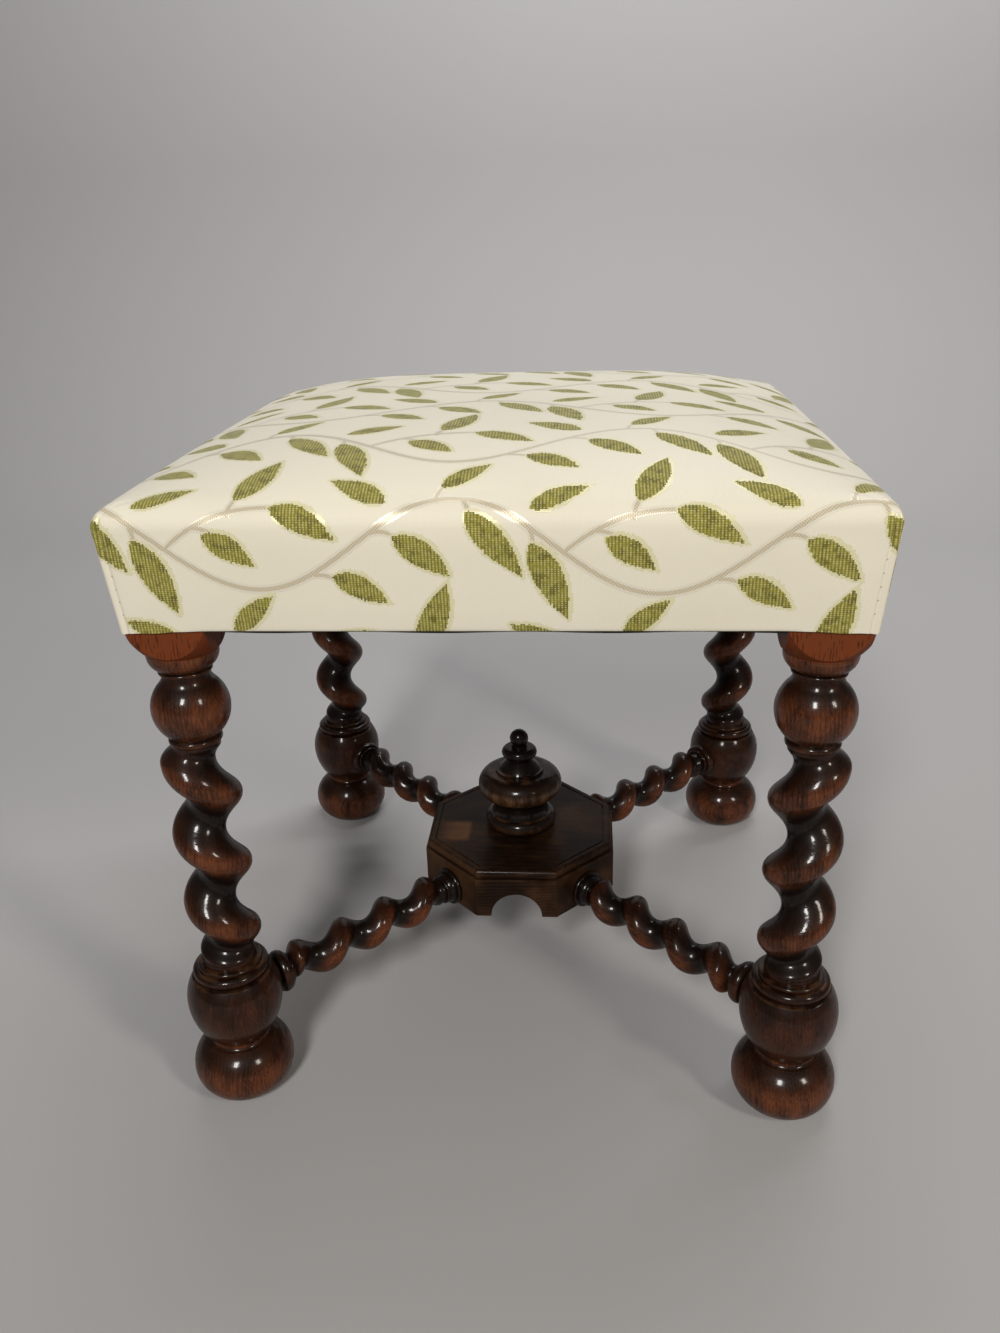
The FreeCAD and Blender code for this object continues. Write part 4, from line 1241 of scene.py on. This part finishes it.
def bottom_mesh(seat, half, notch):
    """Mesh of the bottom cloth: it sags in the middle and leaves a square notch at each leg."""
    places = [half * k / BOTTOM_STEPS for k in range(-BOTTOM_STEPS, BOTTOM_STEPS + 1)]
    lines = sorted({round(place, 6) for place in places + [notch, -notch]})
    n = len(lines)
    verts = []
    for y in lines:
        for x in lines:
            inner = max(0.0, 1 - (x / SAG_REACH) ** 4) * max(0.0, 1 - (y / SAG_REACH) ** 4)
            ripple = SAG_WAVE * math.sin(41 * x + 17 * y) * inner
            edge = max(0.0, (max(abs(x), abs(y)) - half) / FOLD_WIDTH + 1)
            fold = edge * (FOLD_DEPTH + FOLD_WAVE * math.sin(63 * x + 71 * y))
            verts.append((x, y, BOTTOM_HIGH[2] - BOTTOM_GAP - seat.sag * inner + ripple - fold))
    faces = []
    for j in range(n - 1):
        for i in range(n - 1):
            middle_x = abs(lines[i] + lines[i + 1]) / 2
            middle_y = abs(lines[j] + lines[j + 1]) / 2
            if middle_x < notch or middle_y < notch:
                faces.append((j * n + i, (j + 1) * n + i, (j + 1) * n + i + 1, j * n + i + 1))
    return smooth_mesh("bottom_cloth", verts, faces)


def tack_heads(seat, line):
    """Centre and half axes of each tack's head, in a row on each side at this distance from the middle."""
    across = Vector((seat.tack_radius, 0.0, 0.0))
    along = Vector((0.0, seat.tack_radius, 0.0))
    high = Vector((0.0, 0.0, TACK_HEIGHT))
    spots = []
    for k in range(-TACKS, TACKS + 1):
        place = k * seat.tack_pitch
        for x, y in ((place, line), (place, -line), (line, place), (-line, place)):
            spots.append((Vector((x, y, BOTTOM_HIGH[2] - TACK_DEPTH)), high, across, along))
    return spots


class STOOL_OT_bottom_cloth(bpy.types.Operator):
    """Make the black cloth under the seat and its tacks"""

    bl_idname = "stool.bottom_cloth"
    bl_label = "Bottom Cloth"

    def execute(self, context):
        seat = context.scene.stool_seat
        finish = woven("bottom_cloth", context.scene.stool_cloth.bottom, 0.7 * MM, 0.15 * MM)
        half = BOTTOM_HIGH[0] + BOTTOM_OVERLAP
        notch = BLOCK_INNER - NOTCH_ROOM
        sheet = add_piece("bottom_cloth", bottom_mesh(seat, half, notch), finish)
        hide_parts("dust_cover")
        thicken(sheet, seat.bottom_thickness, 1.0)
        tacks = beads("bottom_tacks", tack_heads(seat, half - TACK_INSET))
        add_piece("bottom_tacks", tacks, dull_steel("tack_steel", context.scene.stool_wood))
        return {"FINISHED"}


# Studio

STOOL_MIDDLE = (0.0, 0.0, 0.25)
WALL_MIDDLE = (0.0, 1.9, 1.0)
WHITE = (1.0, 1.0, 1.0)
# Each lamp's place, size, colour and target
LAMPS = {
    "front_lamp": ((-0.42, -2.34, 1.84), (0.42, 0.76), (1.0, 0.97, 0.93), STOOL_MIDDLE),
    "right_lamp": ((1.80, -1.70, 1.62), (0.36, 0.62), (1.0, 0.91, 0.80), STOOL_MIDDLE),
    "back_lamp": ((0.35, 1.25, 1.7), (0.6, 0.4), WHITE, STOOL_MIDDLE),
    "wall_lamp": ((0.35, 0.75, 2.3), (2.0, 0.6), WHITE, WALL_MIDDLE),
}
ROOM_TINT = (1.0, 0.99, 0.98)
FLOOR_HALF_WIDTH = 4.0
FLOOR_FRONT = -3.0
WALL_PLACE = 1.9
WALL_HEIGHT = 3.2
WALL_BEND = 0.7
BEND_STEPS = 12
SENSOR_SIDE = 36.0
CLIP_START = 0.05


def lamp(name, power, place, size, tint, target):
    """Soft rectangular lamp that points at a target."""
    light = bpy.data.lights.new(name, "AREA")
    light.energy = power
    light.shape = "RECTANGLE"
    light.size, light.size_y = size
    light.color = tint
    made = bpy.data.objects.new(name, light)
    made.location = place
    made.rotation_euler = (Vector(target) - Vector(place)).to_track_quat("-Z", "Y").to_euler()
    bpy.context.scene.collection.objects.link(made)


def backdrop_mesh():
    """Floor that curves up into a wall behind the stool."""
    start = WALL_PLACE - WALL_BEND
    profile = [(FLOOR_FRONT, 0.0), (0.0, 0.0), (start, 0.0)]
    for k in range(1, BEND_STEPS + 1):
        angle = math.pi / 2 * k / BEND_STEPS
        profile.append((start + WALL_BEND * math.sin(angle), WALL_BEND - WALL_BEND * math.cos(angle)))
    profile.append((WALL_PLACE, WALL_HEIGHT))
    verts = [(x, y, z) for y, z in profile for x in (-FLOOR_HALF_WIDTH, FLOOR_HALF_WIDTH)]
    faces = [(2 * k, 2 * k + 1, 2 * k + 3, 2 * k + 2) for k in range(len(profile) - 1)]
    return smooth_mesh("backdrop", verts, faces)


def backdrop_paper(stage):
    """Plain pale paper, slightly mottled."""
    def fill(shade):
        mottle = shade.noise(shade.place(), (3, 3, 3), 2.0)
        return {"Base Color": shade.mix(mottle * 0.25, stage.floor, darker(stage.floor, 0.9))}
    return material("backdrop_paper", fill, Roughness=0.9, Specular_IOR_Level=0.1)


def camera_matrix(stage):
    """Place and turn of the camera."""
    yaw, pitch, roll = stage.camera_yaw, stage.camera_pitch, stage.camera_roll
    ahead = Vector((math.sin(yaw) * math.cos(pitch), math.cos(yaw) * math.cos(pitch), -math.sin(pitch)))
    level = Vector((math.cos(yaw), -math.sin(yaw), 0.0))
    upright = level.cross(ahead)
    right = math.cos(roll) * level + math.sin(roll) * upright
    up = math.cos(roll) * upright - math.sin(roll) * level
    matrix = Matrix((right, up, -ahead)).transposed().to_4x4()
    matrix.translation = Vector(stage.camera_place)
    return matrix


class STOOL_OT_stage(bpy.types.Operator):
    """Set up the floor, lamps and camera"""

    bl_idname = "stool.stage"
    bl_label = "Studio"

    def execute(self, context):
        scene = context.scene
        stage = scene.stool_stage
        floor = bpy.data.objects.new("backdrop", backdrop_mesh())
        scene.collection.objects.link(floor)
        floor.data.materials.append(backdrop_paper(stage))
        for name, (place, size, tint, target) in LAMPS.items():
            lamp(name, getattr(stage, name), place, size, tint, target)
        world = bpy.data.worlds.new("room")
        world.use_nodes = True
        background = world.node_tree.nodes["Background"]
        background.inputs["Color"].default_value = paint(ROOM_TINT)
        background.inputs["Strength"].default_value = stage.room
        scene.world = world
        scene.view_settings.view_transform = "Standard"
        camera = bpy.data.cameras.new("camera")
        camera.lens = stage.camera_lens
        camera.sensor_width = SENSOR_SIDE
        camera.clip_start = CLIP_START
        eye = bpy.data.objects.new("camera", camera)
        scene.collection.objects.link(eye)
        eye.matrix_world = camera_matrix(stage)
        scene.camera = eye
        return {"FINISHED"}


# Add-on

OPERATORS = (
    STOOL_OT_turned_oak,
    STOOL_OT_seat_frame,
    STOOL_OT_stuffing,
    STOOL_OT_seat_cover,
    STOOL_OT_bottom_cloth,
    STOOL_OT_stage,
)
GROUPS = {
    "stool_wood": StoolWood,
    "stool_cloth": StoolCloth,
    "stool_seat": StoolSeat,
    "stool_stage": StoolStage,
}


class STOOL_PT_panel(bpy.types.Panel):
    """Sidebar panel with the stool's values and steps"""

    bl_idname = "STOOL_PT_panel"
    bl_label = "Barley Twist Stool"
    bl_space_type = "VIEW_3D"
    bl_region_type = "UI"
    bl_category = "Stool"

    def draw(self, context):
        for name, group in GROUPS.items():
            box = self.layout.box()
            for key in group.__annotations__:
                box.prop(getattr(context.scene, name), key)
        for operator in OPERATORS:
            self.layout.operator(operator.bl_idname)


def register():
    """Make the values, steps and panel known to Blender."""
    for group in GROUPS.values():
        bpy.utils.register_class(group)
    for operator in OPERATORS:
        bpy.utils.register_class(operator)
    bpy.utils.register_class(STOOL_PT_panel)
    for name, group in GROUPS.items():
        setattr(bpy.types.Scene, name, bpy.props.PointerProperty(type=group))


def unregister():
    """Take the values, steps and panel out of Blender."""
    for name in GROUPS:
        delattr(bpy.types.Scene, name)
    bpy.utils.unregister_class(STOOL_PT_panel)
    for operator in reversed(OPERATORS):
        bpy.utils.unregister_class(operator)
    for group in reversed(GROUPS.values()):
        bpy.utils.unregister_class(group)


def main():
    """Dress the stool."""
    register()
    shared_effects()
    bpy.ops.stool.turned_oak()
    bpy.ops.stool.seat_frame()
    bpy.ops.stool.stuffing()
    bpy.ops.stool.seat_cover()
    bpy.ops.stool.bottom_cloth()
    bpy.ops.stool.stage()


if __name__ == "__main__":
    main()
